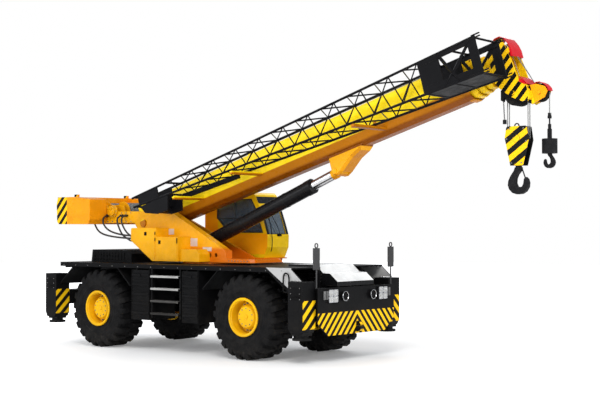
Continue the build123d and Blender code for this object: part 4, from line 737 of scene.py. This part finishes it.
# ------------------------------------------------------------------ tool boxes and deck fittings
# Black sheet boxes with pressed ribs and a latch on each side of the ladders, bent tube hand
# holds at the front corners, and a row of zinc bolts along the deck's edges.
BOX_SIDE = 1.560                 # outer faces of the tool boxes, in Y
DECK_SIDE = 1.550                # edges of the deck, in Y
boxes = Made("side_box_ribs")
for side in (-1, 1):
    y = side * BOX_SIDE
    for x0, x1 in ((slew_x - 1.06, slew_x - 0.48), (slew_x + 0.52, slew_x + 1.01)):
        for n in range(20):
            z = 0.74 + n * 0.052
            boxes.box((x0 + 0.03, y - 0.004, z), (x1 - 0.03, y + side * 0.014 + 0.004, z + 0.018))
        for x in (x0 + 0.012, x1 - 0.032):
            boxes.box((x, y - 0.006, 0.71), (x + 0.02, y + side * 0.018 + 0.004, 1.79))
        boxes.box((x0 + 0.24, y, 1.66), (x0 + 0.31, y + side * 0.034, 1.71))
boxes.done(black_paint, "carrier", "dark", bevel=0.002)

HAND_LOOP = [(0, 1.47), (-0.01, 1.62), (-0.005, 1.76), (0.02, 1.82), (0.075, 1.83), (0.13, 1.80),
             (0.145, 1.72), (0.145, 1.58), (0.13, 1.47), (0.065, 1.435), (0, 1.47)]
handles = Made("hand_holds")
for side in (-1, 1):
    y = side * (DECK_SIDE + 0.035)
    x = slew_x + 3.40
    handles.tube([(x + dx, y, z) for dx, z in HAND_LOOP], 0.015, 12)
    for z in (1.50, 1.78):
        handles.bar((x, y, z), (x, side * (DECK_SIDE - 0.002), z), 0.009)
handles.done(black_paint, "carrier", "dark")

spots = [((slew_x - 3.4 + n * 0.42, side * (DECK_SIDE + 0.001), 1.868), (0, side, 0))
         for n in range(17) for side in (-1, 1)]
bolts("deck_edge_bolts", 0.014, 0.012, spots, "carrier")


# ------------------------------------------------------------------ front apron and lamps
# Folded black plate across the nose with slanted warning bars that meet in the middle, square
# lamps in chromed surrounds, round horns behind grilles and small marker lamps.
apron_bars = striped_where(bars((0, 1.10, 1.0), 0.102, mirrored=True), "Z", 0.55, 1.03, "X")
coat_node("front_apron", black("apron paint", rough=0.36, dust=0.05, gloss=0.08, stripes=apron_bars))
glass = Recipe("lamp glass")
flutes = glass.add("TexWave", Vector=glass.place, Scale=26.0, set_bands_direction="Y").outputs["Fac"]
coat_node("lamps", glass.finish((0.93, 0.94, 0.93, 1), 0.08, height=flutes, depth=0.002,
                                Transmission_Weight=0.55, IOR=1.46, coat=0.5))
low, high = box_of("lamps")
chrome = Recipe("chrome")
chrome_metal = chrome.finish(chrome.cloudy((14, 6), 0.4, 0.7, (0.78, 0.78, 0.80, 1), (0.60, 0.60, 0.61, 1)),
                             chrome.cloudy((20, 5), 0.3, 0.7, 0.07, 0.22), metal=1.0,
                             height=chrome.noise(300), depth=0.0002)
HORN_Y, HORN_Z = 0.480, 1.350
surround = Made("lamp_surrounds")
for side in (-1, 1):
    for y in (0.775, 0.925):
        for z in (1.300, 1.430):
            for y0, y1, z0, z1 in ((-0.072, -0.062, -0.064, 0.064), (0.062, 0.072, -0.064, 0.064),
                                   (-0.072, 0.072, 0.054, 0.064), (-0.072, 0.072, -0.064, -0.054)):
                y_pair = sorted((side * y + y0, side * y + y1))
                surround.box((high.x - 0.016, y_pair[0], z + z0), (high.x + 0.006, y_pair[1], z + z1))
    surround.turned([(0.088, 0.0), (0.098, 0.0), (0.098, 0.014), (0.092, 0.016), (0.088, 0.010)],
                    (high.x + 0.014, side * HORN_Y, HORN_Z), (1, 0, 0), 40)
surround.done(chrome_metal, "carrier", "chrome")
grilles = Made("horn_grilles")
for side in (-1, 1):
    for n in range(7):
        off = -0.06 + n * 0.02
        half = (0.070 ** 2 - off ** 2) ** 0.5
        grilles.bar((high.x + 0.020, side * HORN_Y - half, HORN_Z + off),
                    (high.x + 0.020, side * HORN_Y + half, HORN_Z + off), 0.004, 8)
    grilles.turned([(0.062, 0.0), (0.088, 0.0), (0.088, 0.012), (0.062, 0.008)],
                   (high.x + 0.014, side * HORN_Y, HORN_Z), (1, 0, 0), 40)
grilles.done(black_paint, "carrier", "dark")
markers = Made("marker_lamps")
for side in (-1, 1):
    for y in (1.02, 1.10):
        markers.turned([(0, 0), (0.030, 0), (0.032, 0.02), (0.032, 0.15), (0.028, 0.17), (0, 0.175)],
                       (high.x - 0.030, side * y, 1.30), (0, 0, 1), 20)
marker_glass = paint("marker glass", (0.10, 0.10, 0.10, 1), rough=0.20, under=(0.3, 0.3, 0.3, 1),
                     dust=0.05, gloss=0.5)
markers.done(marker_glass, "carrier", "grey")


# ------------------------------------------------------------------ mirrors
# Upright mirrors on tube poles at the front corners: silvered glass panes in dark grey painted
# backs, facing the cab.
mirror = Recipe("mirror glass")
mirror_glass = mirror.finish(mirror.cloudy((9, 6), 0.45, 0.7, (0.82, 0.84, 0.86, 1), (0.70, 0.72, 0.74, 1)),
                             mirror.cloudy((30, 5), 0.3, 0.7, 0.02, 0.08), metal=1.0)
low, high = box_of("carrier_mirrors")
mirror_paint = paint("mirror back paint", (0.055, 0.055, 0.057, 1), rough=0.40, under=RUBBED_BLACK,
                     dust=0.05)
coat_node("carrier_mirrors", mirror_paint)
panes = Made("mirror_panes")
for side in (-1, 1):
    y = side * 1.270
    panes.plate([(low.x - 0.003, 1.92), (low.x + 0.001, 1.92), (low.x + 0.001, 2.31),
                 (low.x - 0.003, 2.31)], y - 0.075, y + 0.075)
panes.done(mirror_glass, "carrier", "chrome")


# ------------------------------------------------------------------ outriggers
# Square box beams with a jack housing at each tip.  The housings are black, barred in yellow on
# the faces that look along the crane, and the jack's leg ends in a round float.
jack_bars = striped_where(bars((0, 0.95, 1.0), 0.125, mirrored=True), "Z", 0.72, 1.29, "X", "both")
jack_paint = black("jack paint", rough=0.40, gloss=0.07, stripes=jack_bars)
for corner in CORNERS:
    coat_node("outrigger_beam_" + corner, jack_paint)
    coat_node("outrigger_jack_" + corner, axle_casting)
    low, high = box_of("outrigger_beam_" + corner)
    way = -1 if "right" in corner else 1
    y_out = low.y if way < 0 else high.y
    x_mid = (low.x + high.x) / 2
    caps = Made("jack_fittings_" + corner)
    caps.box((x_mid - 0.13, y_out - 0.006, 1.30), (x_mid + 0.13, y_out + 0.006, 1.56))
    handle = ((-0.09, 0.01, 1.36), (-0.09, 0.05, 1.37), (0.09, 0.05, 1.37), (0.09, 0.01, 1.36))
    caps.tube([(x_mid + dx, y_out + way * dy, z) for dx, dy, z in handle], 0.010, 10)
    caps.done(black_paint, "beam_" + corner, "dark", bevel=0.002)
    spots = [((x_mid + dx, y_out + way * 0.006, z), (0, way, 0))
             for dx in (-0.115, 0.115) for z in (1.32, 1.43, 1.54)]
    bolts("jack_bolts_" + corner, 0.014, 0.012, spots, "beam_" + corner)


# ------------------------------------------------------------------ superstructure
# Side boxes, lockers and counterweight are thick welded plate in orange-yellow gloss paint.  The
# counterweight's ends carry slanted bars.  Locker doors hang on pin hinges with black latches.
def deep_below(r, tone):
    """The foot of the superstructure is a deeper orange than the rest."""
    return r.mix(r.step(r.axis("Z"), 2.34, 2.24), tone, (0.68, 0.155, 0.004, 1))


body_paint = yellow("body paint", (0.86, 0.39, 0.004, 1), rough=0.28, dust=0.11, areas=deep_below)
door_paint = yellow("door paint", (0.86, 0.40, 0.004, 1), rough=0.26, dust=0.10)
coat_node("turntable_frame", body_paint)
coat_node("lockers", door_paint)
low, high = box_of("counterweight")
weight_bars = striped_where(bars((-1.2, 0, 1.1), 0.141), "X", low.x - 0.1, low.x + 0.38, "Y", "both")
coat_node("counterweight", yellow("counterweight paint", (0.98, 0.35, 0.005, 1), rough=0.30, dust=0.12,
                                  stripes=weight_bars))

doors = Made("locker_fittings")
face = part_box("lockers")[0][1]
for latch_x, hinge_x, top in ((-1.24, -0.894, 2.69), (-0.78, -0.194, 2.50)):
    x = slew_x + hinge_x
    for z in (2.47, top - 0.08):
        doors.bar((x, face - 0.004, z - 0.035), (x, face - 0.004, z + 0.035), 0.011)
    x = slew_x + latch_x
    doors.box((x, face - 0.010, top - 0.13), (x + 0.07, face + 0.002, top - 0.05))
    doors.bar((x + 0.035, face - 0.016, top - 0.09), (x + 0.035, face - 0.008, top - 0.09), 0.018, 16)
doors.done(black_paint, "superstructure", "dark", bevel=0.002)

SIDE_Y = -0.600                  # outer face of the frame's right side plate
plates = Made("bare_plates")
for x0, x1, z0, z1 in ((-1.17, -0.70, 2.58, 2.71), (-0.30, 0.04, 2.32, 2.50), (0.21, 0.48, 2.215, 2.305)):
    plates.box((slew_x + x0, SIDE_Y - 0.0035, z0), (slew_x + x1, SIDE_Y, z1))
pale = paint("bare plate", (0.62, 0.54, 0.50, 1), rough=0.35, under=(0.3, 0.28, 0.25, 1), dust=0.15,
             coat=0.1)
plates.done(pale, "superstructure", "grey")

spots = [(slew_x - 3.42 + n * 0.16, z) for n in range(9) for z in (3.085, 2.885)]
spots += [(slew_x + 1.0 + n * 0.09, 2.01) for n in range(7)]
bolts("frame_bolts", 0.018, 0.016, [((x, SIDE_Y - 0.001, z), (0, -1, 0)) for x, z in spots],
      "superstructure")


# ------------------------------------------------------------------ winches
# Drums wound with wire rope, between the frame's plates, with a bolted hydraulic motor on the
# right side of each.  Four rubber hoses hang from the frame's side and run to the locker.
wire = Recipe("wire rope")
lay_lines = wire.add("TexWave", Vector=wire.place, Scale=60.0, Distortion=0.5).outputs["Fac"]
wire_rope = wire.finish(wire.mix(lay_lines, (0.10, 0.10, 0.10, 1), (0.34, 0.34, 0.33, 1)),
                        wire.cloudy((40,), 0.3, 0.7, 0.32, 0.5), metal=0.85, height=lay_lines, depth=0.002)
ROPE_HALF, ROPE_TURNS = 0.27, 26
for body in ("main_winch", "aux_winch"):
    node = body + "_drum"
    at = Vector(joints[body + "_turn"]["pos_m"])
    coat_node(node, body_paint)
    wound = Made(node + "_rope")
    step = 2 * ROPE_HALF / ROPE_TURNS
    wraps = [(0.192 + 0.010 * sin(pi * k / 4), -ROPE_HALF + n * step + step * k / 4)
             for n in range(ROPE_TURNS) for k in range(5)]
    wound.turned([(0.186, -ROPE_HALF)] + wraps + [(0.186, ROPE_HALF)], at, (0, 1, 0), 64)
    wound.done(wire_rope, body, "steel", angle=60)
    guard = Made(node + "_motor")
    guard.turned([(0, 0), (0.145, 0), (0.145, 0.03), (0.120, 0.045), (0.120, 0.10), (0.085, 0.115),
                  (0, 0.115)], (at.x, SIDE_Y - 0.002, at.z), (0, -1, 0), 40)
    guard.turned([(0, 0), (0.140, 0), (0.140, 0.03), (0.095, 0.05), (0, 0.05)], (at.x, 0.472, at.z),
                 (0, 1, 0), 40)
    for dx, dz in ((-0.05, 0.06), (0.05, 0.06), (0.0, -0.07)):
        guard.bar((at.x + dx, -0.70, at.z + dz), (at.x + dx, -0.745, at.z + dz), 0.022, 12)
    guard.done(body_paint, "superstructure", "orange", bevel=0.003)
    spots = bolt_circle((at.x, SIDE_Y - 0.034, at.z), 0.128, 10, (0, -1, 0))
    bolts(node + "_bolts", 0.014, 0.014, spots, "superstructure")

hose = Recipe("hose rubber")
hose_tone = hose.cloudy((18, 6), 0.4, 0.7, (0.008, 0.008, 0.009, 1), (0.030, 0.029, 0.027, 1))
hose_rubber = hose.finish(hose_tone, hose.cloudy((30,), 0.3, 0.7, 0.36, 0.55), height=hose.noise(240),
                          depth=0.0006)
hoses = Made("winch_hoses")
locker_x = slew_x - 1.66
for x, sag in ((-3.22, 2.50), (-2.91, 2.56), (-2.41, 2.44), (-2.26, 2.50)):
    x += slew_x
    hoses.tube([(x, -0.62, 3.02), (x, -0.72, 3.01), (x + 0.01, -0.80, 2.94), (x + 0.05, -0.82, 2.82),
                (x + 0.22, -0.83, sag + 0.12), (x + 0.30 + (locker_x - x) * 0.2, -0.84, sag + 0.03),
                (locker_x - 0.20, -0.84, sag - 0.02), (locker_x + 0.02, -0.84, sag)], 0.021, 12)
    hoses.bar((x, SIDE_Y, 3.02), (x, SIDE_Y - 0.08, 3.02), 0.030, 12)
hoses.done(hose_rubber, "superstructure", "dark")


# ------------------------------------------------------------------ cab
# Welded cab, orange on its sides and yellow in front, with tinted glass in black rubber, a
# wiper, grab rails, a roof box, and a cloth seat with wheel, levers and pedals inside.
low, high = box_of("cab_shell")


def cab_tone(r, tone):
    """Orange on its side below and behind the window, yellow pillars and front, black windscreen frame."""
    side = r.over(r.math("ABSOLUTE", r.facing("Y")), 0.7)
    lower = within(r, "Z", 2.13, 2.60)
    behind = r.math("LESS_THAN", r.axis("X"), slew_x - 0.56)
    orange = r.times(side, r.math("MAXIMUM", lower, behind))
    tone = r.mix(orange, tone, (1.0, 0.42, 0.006, 1))
    frame = r.times(within(r, "Z", 2.585, 3.20), r.over(r.facing("X"), 0.3))
    inner = r.times(within(r, "Y", low.y + 0.01, high.y - 0.01), within(r, "Z", low.z + 0.02, 3.45))
    lining = r.times(inner, r.math("LESS_THAN", r.axis("X"), slew_x + 0.70))
    return r.mix(r.math("MAXIMUM", frame, lining), tone, (0.012, 0.014, 0.016, 1))


cab_paint = yellow("cab paint", (0.97, 0.62, 0.006, 1), rough=0.24, dust=0.07, areas=cab_tone)
coat_node("cab_shell", cab_paint)
coat_node("cab_door", cab_paint)
pane = Recipe("cab glass")
pane_tone = pane.cloudy((2.2, 6), 0.4, 0.8, (0.11, 0.17, 0.23, 1), (0.17, 0.24, 0.30, 1))
cab_pane = pane.finish(pane_tone, pane.cloudy((12,), 0.3, 0.8, 0.02, 0.10), Transmission_Weight=0.60,
                       IOR=1.45, coat=0.6)
coat_node("cab_glass", cab_pane)
coat_node("cab_door_glass", cab_pane)
cloth = Recipe("seat cloth")
weave = cloth.add("TexWave", Vector=cloth.place, Scale=160.0, set_bands_direction="DIAGONAL").outputs["Fac"]
seat_cloth = cloth.finish(cloth.cloudy((9, 6), 0.4, 0.7, (0.012, 0.012, 0.014, 1), (0.035, 0.036, 0.04, 1)),
                          0.85, height=weave, depth=0.0008, Sheen_Weight=0.3)
coat_node("operator_chair", seat_cloth)

SEAL_WIDE = 0.022
window = [(slew_x + x, z) for x, z in ((-0.59, 2.96), (-0.59, 3.40), (0.50, 3.40), (0.64, 3.17),
                                       (0.85, 2.62), (-0.23, 2.62))]
seals = Made("window_seals")
for (xa, za), (xb, zb) in zip(window, window[1:] + window[:1]):
    share = SEAL_WIDE / hypot(xb - xa, zb - za)
    dx, dz = (zb - za) * share, (xa - xb) * share
    seals.plate([(xa, za), (xb, zb), (xb + dx, zb + dz), (xa + dx, za + dz)], low.y - 0.006, low.y + 0.02)
seals.bar((slew_x - 0.02, low.y - 0.004, 2.95), (slew_x - 0.02, low.y - 0.004, 3.40), 0.012, 8)
seals.bar((slew_x - 0.58, low.y - 0.004, 2.95), (slew_x + 0.72, low.y - 0.004, 2.95), 0.010, 8)
seals.done(hose_rubber, "superstructure", "dark", bevel=0.002)

fittings = Made("cab_fittings")
grab_rail = [(0.012, 2.20), (0.05, 2.24), (0.055, 2.55), (-0.02, 2.90), (-0.15, 3.24)]
fittings.tube([(high.x + dx, low.y + 0.10, z) for dx, z in grab_rail], 0.011, 10)
wiper = [(0.012, 0.40, 2.58), (0.03, 0.40, 2.62), (-0.05, 0.34, 2.86), (-0.16, 0.25, 3.10)]
fittings.tube([(high.x + dx, low.y + dy, z) for dx, dy, z in wiper], 0.008, 8)
fittings.box((high.x - 0.005, low.y + 0.34, 2.54), (high.x + 0.03, low.y + 0.46, 2.60))
roof_rail = [(0.30, 3.54), (0.30, 3.60), (-0.70, 3.60), (-0.70, 3.54)]
fittings.tube([(slew_x + dx, low.y + 0.06, z) for dx, z in roof_rail], 0.012, 10)
fittings.box((slew_x - 0.86, low.y + 0.20, 3.535), (slew_x - 0.60, low.y + 0.50, 3.60))
fittings.done(black_paint, "superstructure", "dark", bevel=0.002)

inside = Made("cab_controls")
y_mid = (low.y + high.y) / 2
inside.tube([(slew_x + 0.66, y_mid, 2.62), (slew_x + 0.52, y_mid, 2.82)], 0.020, 12, smooth=False)
wheel_at = Vector((slew_x + 0.50, y_mid, 2.84))
lean = Vector((-0.55, 0, 0.83)).normalized()
across = Vector((0, 1, 0))
rise = lean.cross(across)
turns = [2 * pi * n / 24 for n in range(25)]
inside.tube([wheel_at + across * 0.19 * cos(turn) + rise * 0.19 * sin(turn) for turn in turns], 0.013, 10)
for n in range(3):
    angle = 2 * pi * n / 3 + 0.5
    inside.bar(wheel_at, wheel_at + across * 0.185 * cos(angle) + rise * 0.185 * sin(angle), 0.009, 8)
for side in (-1, 1):
    for dx in (-0.10, 0.02):
        base = Vector((slew_x + dx, y_mid + side * 0.275, 2.655))
        inside.bar(base, base + Vector((0.01, 0, 0.10)), 0.006, 8)
        inside.bar(base + Vector((0.01, 0, 0.09)), base + Vector((0.014, 0, 0.14)), 0.016, 12, 0.020)
inside.box((slew_x + 0.58, y_mid + 0.22, 2.75), (slew_x + 0.60, y_mid + 0.42, 2.93))
inside.bar((slew_x + 0.59, y_mid + 0.32, 2.50), (slew_x + 0.59, y_mid + 0.32, 2.78), 0.010, 8)
for pedal in (-0.12, 0.04):
    inside.box((slew_x + 0.30, y_mid + pedal, 2.13), (slew_x + 0.42, y_mid + pedal + 0.08, 2.15))
inside.done(hose_rubber, "superstructure", "dark", bevel=0.002)

low, high = box_of("cab_door")
door_bits = Made("door_fittings")
door_bits.box((low.x + 0.03, high.y - 0.004, 2.48), (low.x + 0.16, high.y + 0.016, 2.53))
pull = ((0, 2.25), (0.035, 2.28), (0.035, 2.52), (0, 2.55))
door_bits.tube([(high.x - 0.08, high.y + dy, z) for dy, z in pull], 0.010, 10)
door_bits.done(black_paint, "cab_door", "dark", bevel=0.002)


# ------------------------------------------------------------------ boom
# Five nested box sections of folded plate in yellow; the base's lower half is painted shade in amber.  The
# base carries rope rollers on top, clipped cables on its left side and a bolted collar at its mouth.
PIVOT = Vector(joints["boom_luff"]["pos_m"])
ALONG = Vector(joints["telescope_2"]["axis"])
SQUARE = Vector((-ALONG.z, 0, ALONG.x))


def on_boom(s, y, h):
    """Point given along the boom, across the crane and square to the boom."""
    return PIVOT + ALONG * s + SQUARE * h + Vector((0, y, 0))


def boom_reading(r, direction):
    """A coordinate along or square to the boom, measured from the pivot."""
    reading = r.add("VectorMath", set_operation="DOT_PRODUCT", i0=r.place, i1=tuple(direction))
    return r.math("SUBTRACT", reading.outputs["Value"], direction.dot(PIVOT))


def boom_tone_and_shade(r, tone):
    """Lighter top half; amber belly with a thin line between them and a darker band below, all painted
    shade; a bright lift housing, painted shade where it faces down.
    """
    height = boom_reading(r, SQUARE)
    # painted shade: below the middle of the boom the yellow turns amber
    tone = r.mix(r.step(height, 0.075, 0.050), tone, (0.46, 0.155, 0.003, 1))
    # painted shade: darker brown lower still, along the boom's underside
    tone = r.mix(r.step(height, -0.06, -0.12), tone, (0.24, 0.062, 0.002, 1))
    housing = r.times(r.step(height, -0.172, -0.180), r.step(boom_reading(r, ALONG), 5.0, 5.1))
    # painted shade: the lift housing's downward faces are a darker orange
    shade = r.mix(r.step(r.facing("Z"), -0.2, -0.75), (0.88, 0.40, 0.005, 1), (0.55, 0.20, 0.006, 1))
    return r.mix(housing, tone, shade)


def section_tone(r, tone):
    """Inner sections carry a grease film and rub marks along their length."""
    along = r.add("Mapping", Vector=r.place, Scale=(0.6, 9, 9)).outputs[0]
    streak = r.add("TexNoise", Vector=along, Scale=3.0, Detail=6.0).outputs[0]
    return r.mix(r.times(r.step(streak, 0.5, 0.7), 0.5), tone, (0.55, 0.20, 0.01, 1))


boom_paint = yellow("boom paint", (1.0, 0.72, 0.006, 1), rough=0.28, dust=0.07, areas=boom_tone_and_shade)
section_paint = yellow("section paint", (0.96, 0.62, 0.006, 1), rough=0.30, dust=0.05, areas=section_tone)
coat_node("boom_base", boom_paint)
for number in range(2, 6):
    coat_node(f"boom_section_{number}", section_paint)

boom_bits = Made("boom_fittings")
for s in (0.40, 3.20, 6.20):
    boom_bits.bar(on_boom(s, -0.145, 0.645), on_boom(s, 0.145, 0.645), 0.034, 20)
for s in (1.2, 3.4, 5.6, 7.8):
    clip = ((s, 0.30), (s + 0.10, 0.30), (s + 0.10, 0.40), (s, 0.40))
    boom_bits.prism([on_boom(along, 0.331, h) for along, h in clip], (0, 0.03, 0))
for h, radius, sway in ((0.35, 0.012, (0.352, 0.356, 0.352, 0.352)),
                        (0.385, 0.009, (0.352, 0.350, 0.354, 0.352))):
    boom_bits.tube([on_boom(s, y, h) for s, y in zip((0.5, 2.5, 5.0, 8.0), sway)], radius, 10)
boom_bits.done(hose_rubber, "boom", "dark")
spots = [(on_boom(s, side * 0.352, 0.10 + k * 0.08), (0, side, 0))
         for k in range(6) for s in (8.875, 8.935) for side in (-1, 1)]
bolts("collar_bolts", 0.016, 0.014, spots, "boom")

lines = Made("hoist_lines")
for y, end_h in ((0.03, 0.665), (-0.06, 0.668)):
    stations = ((0.40, 0.680), (3.20, 0.680), (6.20, 0.680), (8.90, end_h))
    lines.tube([on_boom(s, y, h) for s, h in stations], 0.009, 8, smooth=False)
lines.done(wire_rope, "boom", "steel")


# ------------------------------------------------------------------ lift cylinder
# Black barrel with a gland ring and a hard-chromed rod whose eye is pinned under the boom.
BARREL, ROD = 0.157, 0.1075      # outer radii
low_at = Vector(joints["lift_barrel_swing"]["pos_m"])
reach = Vector(joints["lift_rod_reach"]["axis"])
barrel_paint = paint("cylinder paint", (0.010, 0.010, 0.011, 1), rough=0.25, under=(0.06, 0.055, 0.05, 1),
                     dust=0.05, coat=0.08)
barrel = Made("lift_barrel_body")
barrel.turned([(0.109, 0.20), (0.109, 4.042), (0.140, 4.042), (0.165, 4.028), (0.165, 3.856),
               (BARREL, 3.846), (BARREL, 0.18), (0.130, 0.12), (0, 0.12), (0, 0.20)], low_at, reach, 72)
barrel.pin(0.130, -0.150, 0.150, low_at, (0, 1, 0), 48)
barrel.pin(0.055, -0.425, 0.460, low_at, (0, 1, 0), 32)
for along in (0.62, 1.9, 3.2):
    barrel.turned([(BARREL, along), (0.163, along), (0.163, along + 0.04), (BARREL, along + 0.04)], low_at,
                  reach, 72)
beside = Vector((-reach.z, 0, reach.x)) * 0.6 + Vector((0, -0.8, 0))
pipe = [(0.40, 0.150), (0.46, 0.172), (1.60, 0.174), (3.55, 0.174), (3.70, 0.172), (3.76, 0.150)]
barrel.tube([low_at + reach * along + beside * out for along, out in pipe], 0.012, 10)
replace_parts(barrel.done(barrel_paint, "lift_barrel", "dark", bevel=0.004, angle=40), "lift_barrel")
coat_node("lift_barrel", barrel_paint)
eye_at = on_boom(5.40, 0, -0.460)
length = (eye_at - low_at).length
chromed = Made("lift_rod_body")
chromed.pin(ROD, 0.57, length - 0.10, low_at, reach, 72)
chromed.done(chrome_metal, "lift_rod", "chrome", angle=40)
eye = Made("lift_rod_eye")
eye.pin(0.105, -0.150, 0.150, eye_at, (0, 1, 0), 48)
eye.pin(0.060, -0.164, 0.164, eye_at, (0, 1, 0), 32)
eye.turned([(ROD, length - 0.20), (0.111, length - 0.19), (0.111, length - 0.09), (0, length - 0.09),
            (0, length - 0.20)], low_at, reach, 48)
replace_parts(eye.done(boom_paint, "lift_rod", "yellow", bevel=0.004, angle=40), "lift_rod")
coat_node("lift_rod", chrome_metal)


# ------------------------------------------------------------------ stowed jib
# Welded tube lattice in satin black paint, with plated head and foot, pinned along the boom's
# right side.
jib_paint = paint("jib paint", (0.006, 0.006, 0.007, 1), rough=0.40, under=(0.03, 0.028, 0.026, 1),
                  dust=0.03, coat=0.0, gloss=0.06)
coat_node("jib", jib_paint)


# ------------------------------------------------------------------ boom head and hook gear
# Barred head plates round grooved cast sheaves, red rope guards, a barred hook block with a
# forged hook and latch, a limit switch with its chain, and a black weight and hook on one line.
GUARD_RED = (0.58, 0.006, 0.016, 1)
GUARD_THICK = 0.012


def head_tone_and_shade(r, tone):
    """Nose in plain orange, undersides painted near black as shade, and rope guards in red."""
    along, height = boom_reading(r, ALONG), boom_reading(r, SQUARE)
    tone = r.mix(r.step(along, 10.115, 10.12), tone, (0.92, 0.36, 0.006, 1))
    # painted shade: faces that look down are near black
    tone = r.mix(r.step(r.facing("Z"), -0.5, -0.8), tone, (0.02, 0.014, 0.016, 1))
    front = r.times(r.over(along, 9.955), r.over(height, 0.28))
    outside = r.over(r.math("ADD", along, height), 9.775)
    lower = r.times(r.over(along, 9.99), r.over(height, -0.30))
    red = r.math("MAXIMUM", front, r.times(outside, lower))
    return r.mix(red, tone, GUARD_RED)


head_bars = striped_where(bars((-1.15, 0, 1.0), 0.13, shift=0.4), "X", 4.9, 5.945, "Y", "outer")
head_paint = yellow("head paint", (0.96, 0.60, 0.006, 1), rough=0.28, dust=0.05,
                    stripes=head_bars, areas=head_tone_and_shade)
coat_node("boom_head", head_paint)
coat_node("head_sheaves", axle_casting)
coat_node("nose_sheave", axle_casting)
red_paint = paint("guard paint", GUARD_RED, rough=0.3, under=(0.2, 0.01, 0.01, 1), dust=0.04)
guards = Made("rope_guards")
over_head = [(9.63, 0.700), (9.72, 0.748), (9.83, 0.748), (9.91, 0.685), (9.965, 0.56), (9.995, 0.43),
             (9.99, 0.30)]
over_throat = [(9.99, -0.105), (10.035, -0.15), (10.075, -0.205), (10.115, -0.30)]
over_nose = [(10.18, -0.33), (10.24, -0.305), (10.32, -0.325), (10.40, -0.395), (10.445, -0.48),
             (10.45, -0.545)]
for wide, path in ((0.205, over_head), (0.190, over_throat), (0.080, over_nose)):
    inner = []
    for n, (s, h) in enumerate(path):
        before, after = path[max(n - 1, 0)], path[min(n + 1, len(path) - 1)]
        ds, dh = after[0] - before[0], after[1] - before[1]
        size = hypot(ds, dh)
        inner.append((s + dh / size * GUARD_THICK, h - ds / size * GUARD_THICK))
    guards.prism([on_boom(s, -wide, h) for s, h in path + inner[::-1]], (0, 2 * wide, 0))
guards.done(red_paint, "section_5", None)

head_lines = Made("head_lines")
to_nose = [((9.86, y, 0.58), (9.935, y, 0.47), (10.20, 0, -0.37)) for y in (-0.035, 0.03)]
for route in to_nose + [((9.86, -0.10, 0.58), (9.93, -0.10, 0.45), (9.975, -0.10, -0.20))]:
    head_lines.tube([on_boom(*point) for point in route], 0.006, 6, smooth=False)
head_lines.done(wire_rope, "section_5", "steel")

block_at = Vector(joints["hook_block_swing"]["pos_m"])
hook_steel = casting("forged hook", (0.005, 0.005, 0.006, 1), rough=0.55)
limit = Made("limit_switch")
hang = Vector((block_at.x - 0.262, -0.10, 0))
switch_box = ((-0.045, 5.31), (0.035, 5.31), (0.045, 5.20), (0.01, 5.09), (-0.045, 5.12))
limit.plate([(hang.x + dx, z) for dx, z in switch_box], hang.y - 0.03, hang.y + 0.03)
limit.done(hook_steel, "section_5", "dark")
chain = Made("limit_chain")
for n in range(14):
    top = 5.10 - n * 0.024
    lean = Vector((0.010, 0, 0)) if n % 2 else Vector((0, 0.010, 0))
    link = [hang + Vector((0.004 * n / 3, 0, top)) + lean * a + Vector((0, 0, b))
            for a, b in ((-1, 0), (-1, -0.026), (1, -0.026), (1, 0), (-1, 0))]
    chain.tube(link, 0.0045, 6, smooth=False)
chain.turned([(0.018, -0.04), (0.036, -0.04), (0.036, 0.04), (0.018, 0.04), (0.018, -0.04)],
             hang + Vector((0.022, 0, 4.715)), (0, 0, 1), 20)
chain.done(hook_steel, "falls", "dark")

block_bars = striped_where(bars((-0.70, 0, 1.0), 0.128, shift=0.52), "Z", 0.0, 9.0, "Y", "outer")
block_paint = paint("block paint", STRIPE_BLACK, rough=0.3, under=(0.06, 0.05, 0.04, 1), dust=0.04,
                    stripes=block_bars)
coat_node("hook_block", block_paint)
for name, finish in (("hook", hook_steel), ("aux_hook", hook_steel), ("rope_falls", wire_rope),
                     ("aux_rope", wire_rope)):
    coat_node(name, finish)
corners = ((-0.15, 0.19), (0.15, 0.19), (-0.205, 0.0), (0.205, -0.05), (-0.105, -0.45), (0.105, -0.45))
spots = [((block_at.x + dx, side * 0.092, block_at.z + dz), (0, side, 0))
         for side in (-1, 1) for dx, dz in corners]
bolts("block_bolts", 0.022, 0.018, spots, "hook_block")
block_bits = Made("block_fittings")
ring_at = Vector((block_at.x - 0.04, 0, block_at.z + 0.245))
block_bits.tube([ring_at + Vector((0.045 * cos(pi * n / 10), 0, 0.045 * sin(pi * n / 10)))
                 for n in range(21)], 0.012, 10)
block_bits.done(hook_steel, "hook_block", "dark")
latch = Made("hook_latch")
shank_low = block_at.z - 0.53
leaf = ((0.066, 0.035), (0.078, 0.035), (0.150, 0.225), (0.138, 0.225))
latch.plate([(block_at.x + dx, shank_low - dz) for dx, dz in leaf], -0.016, 0.016)
latch.done(hook_steel, "hook", "dark")

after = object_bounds()
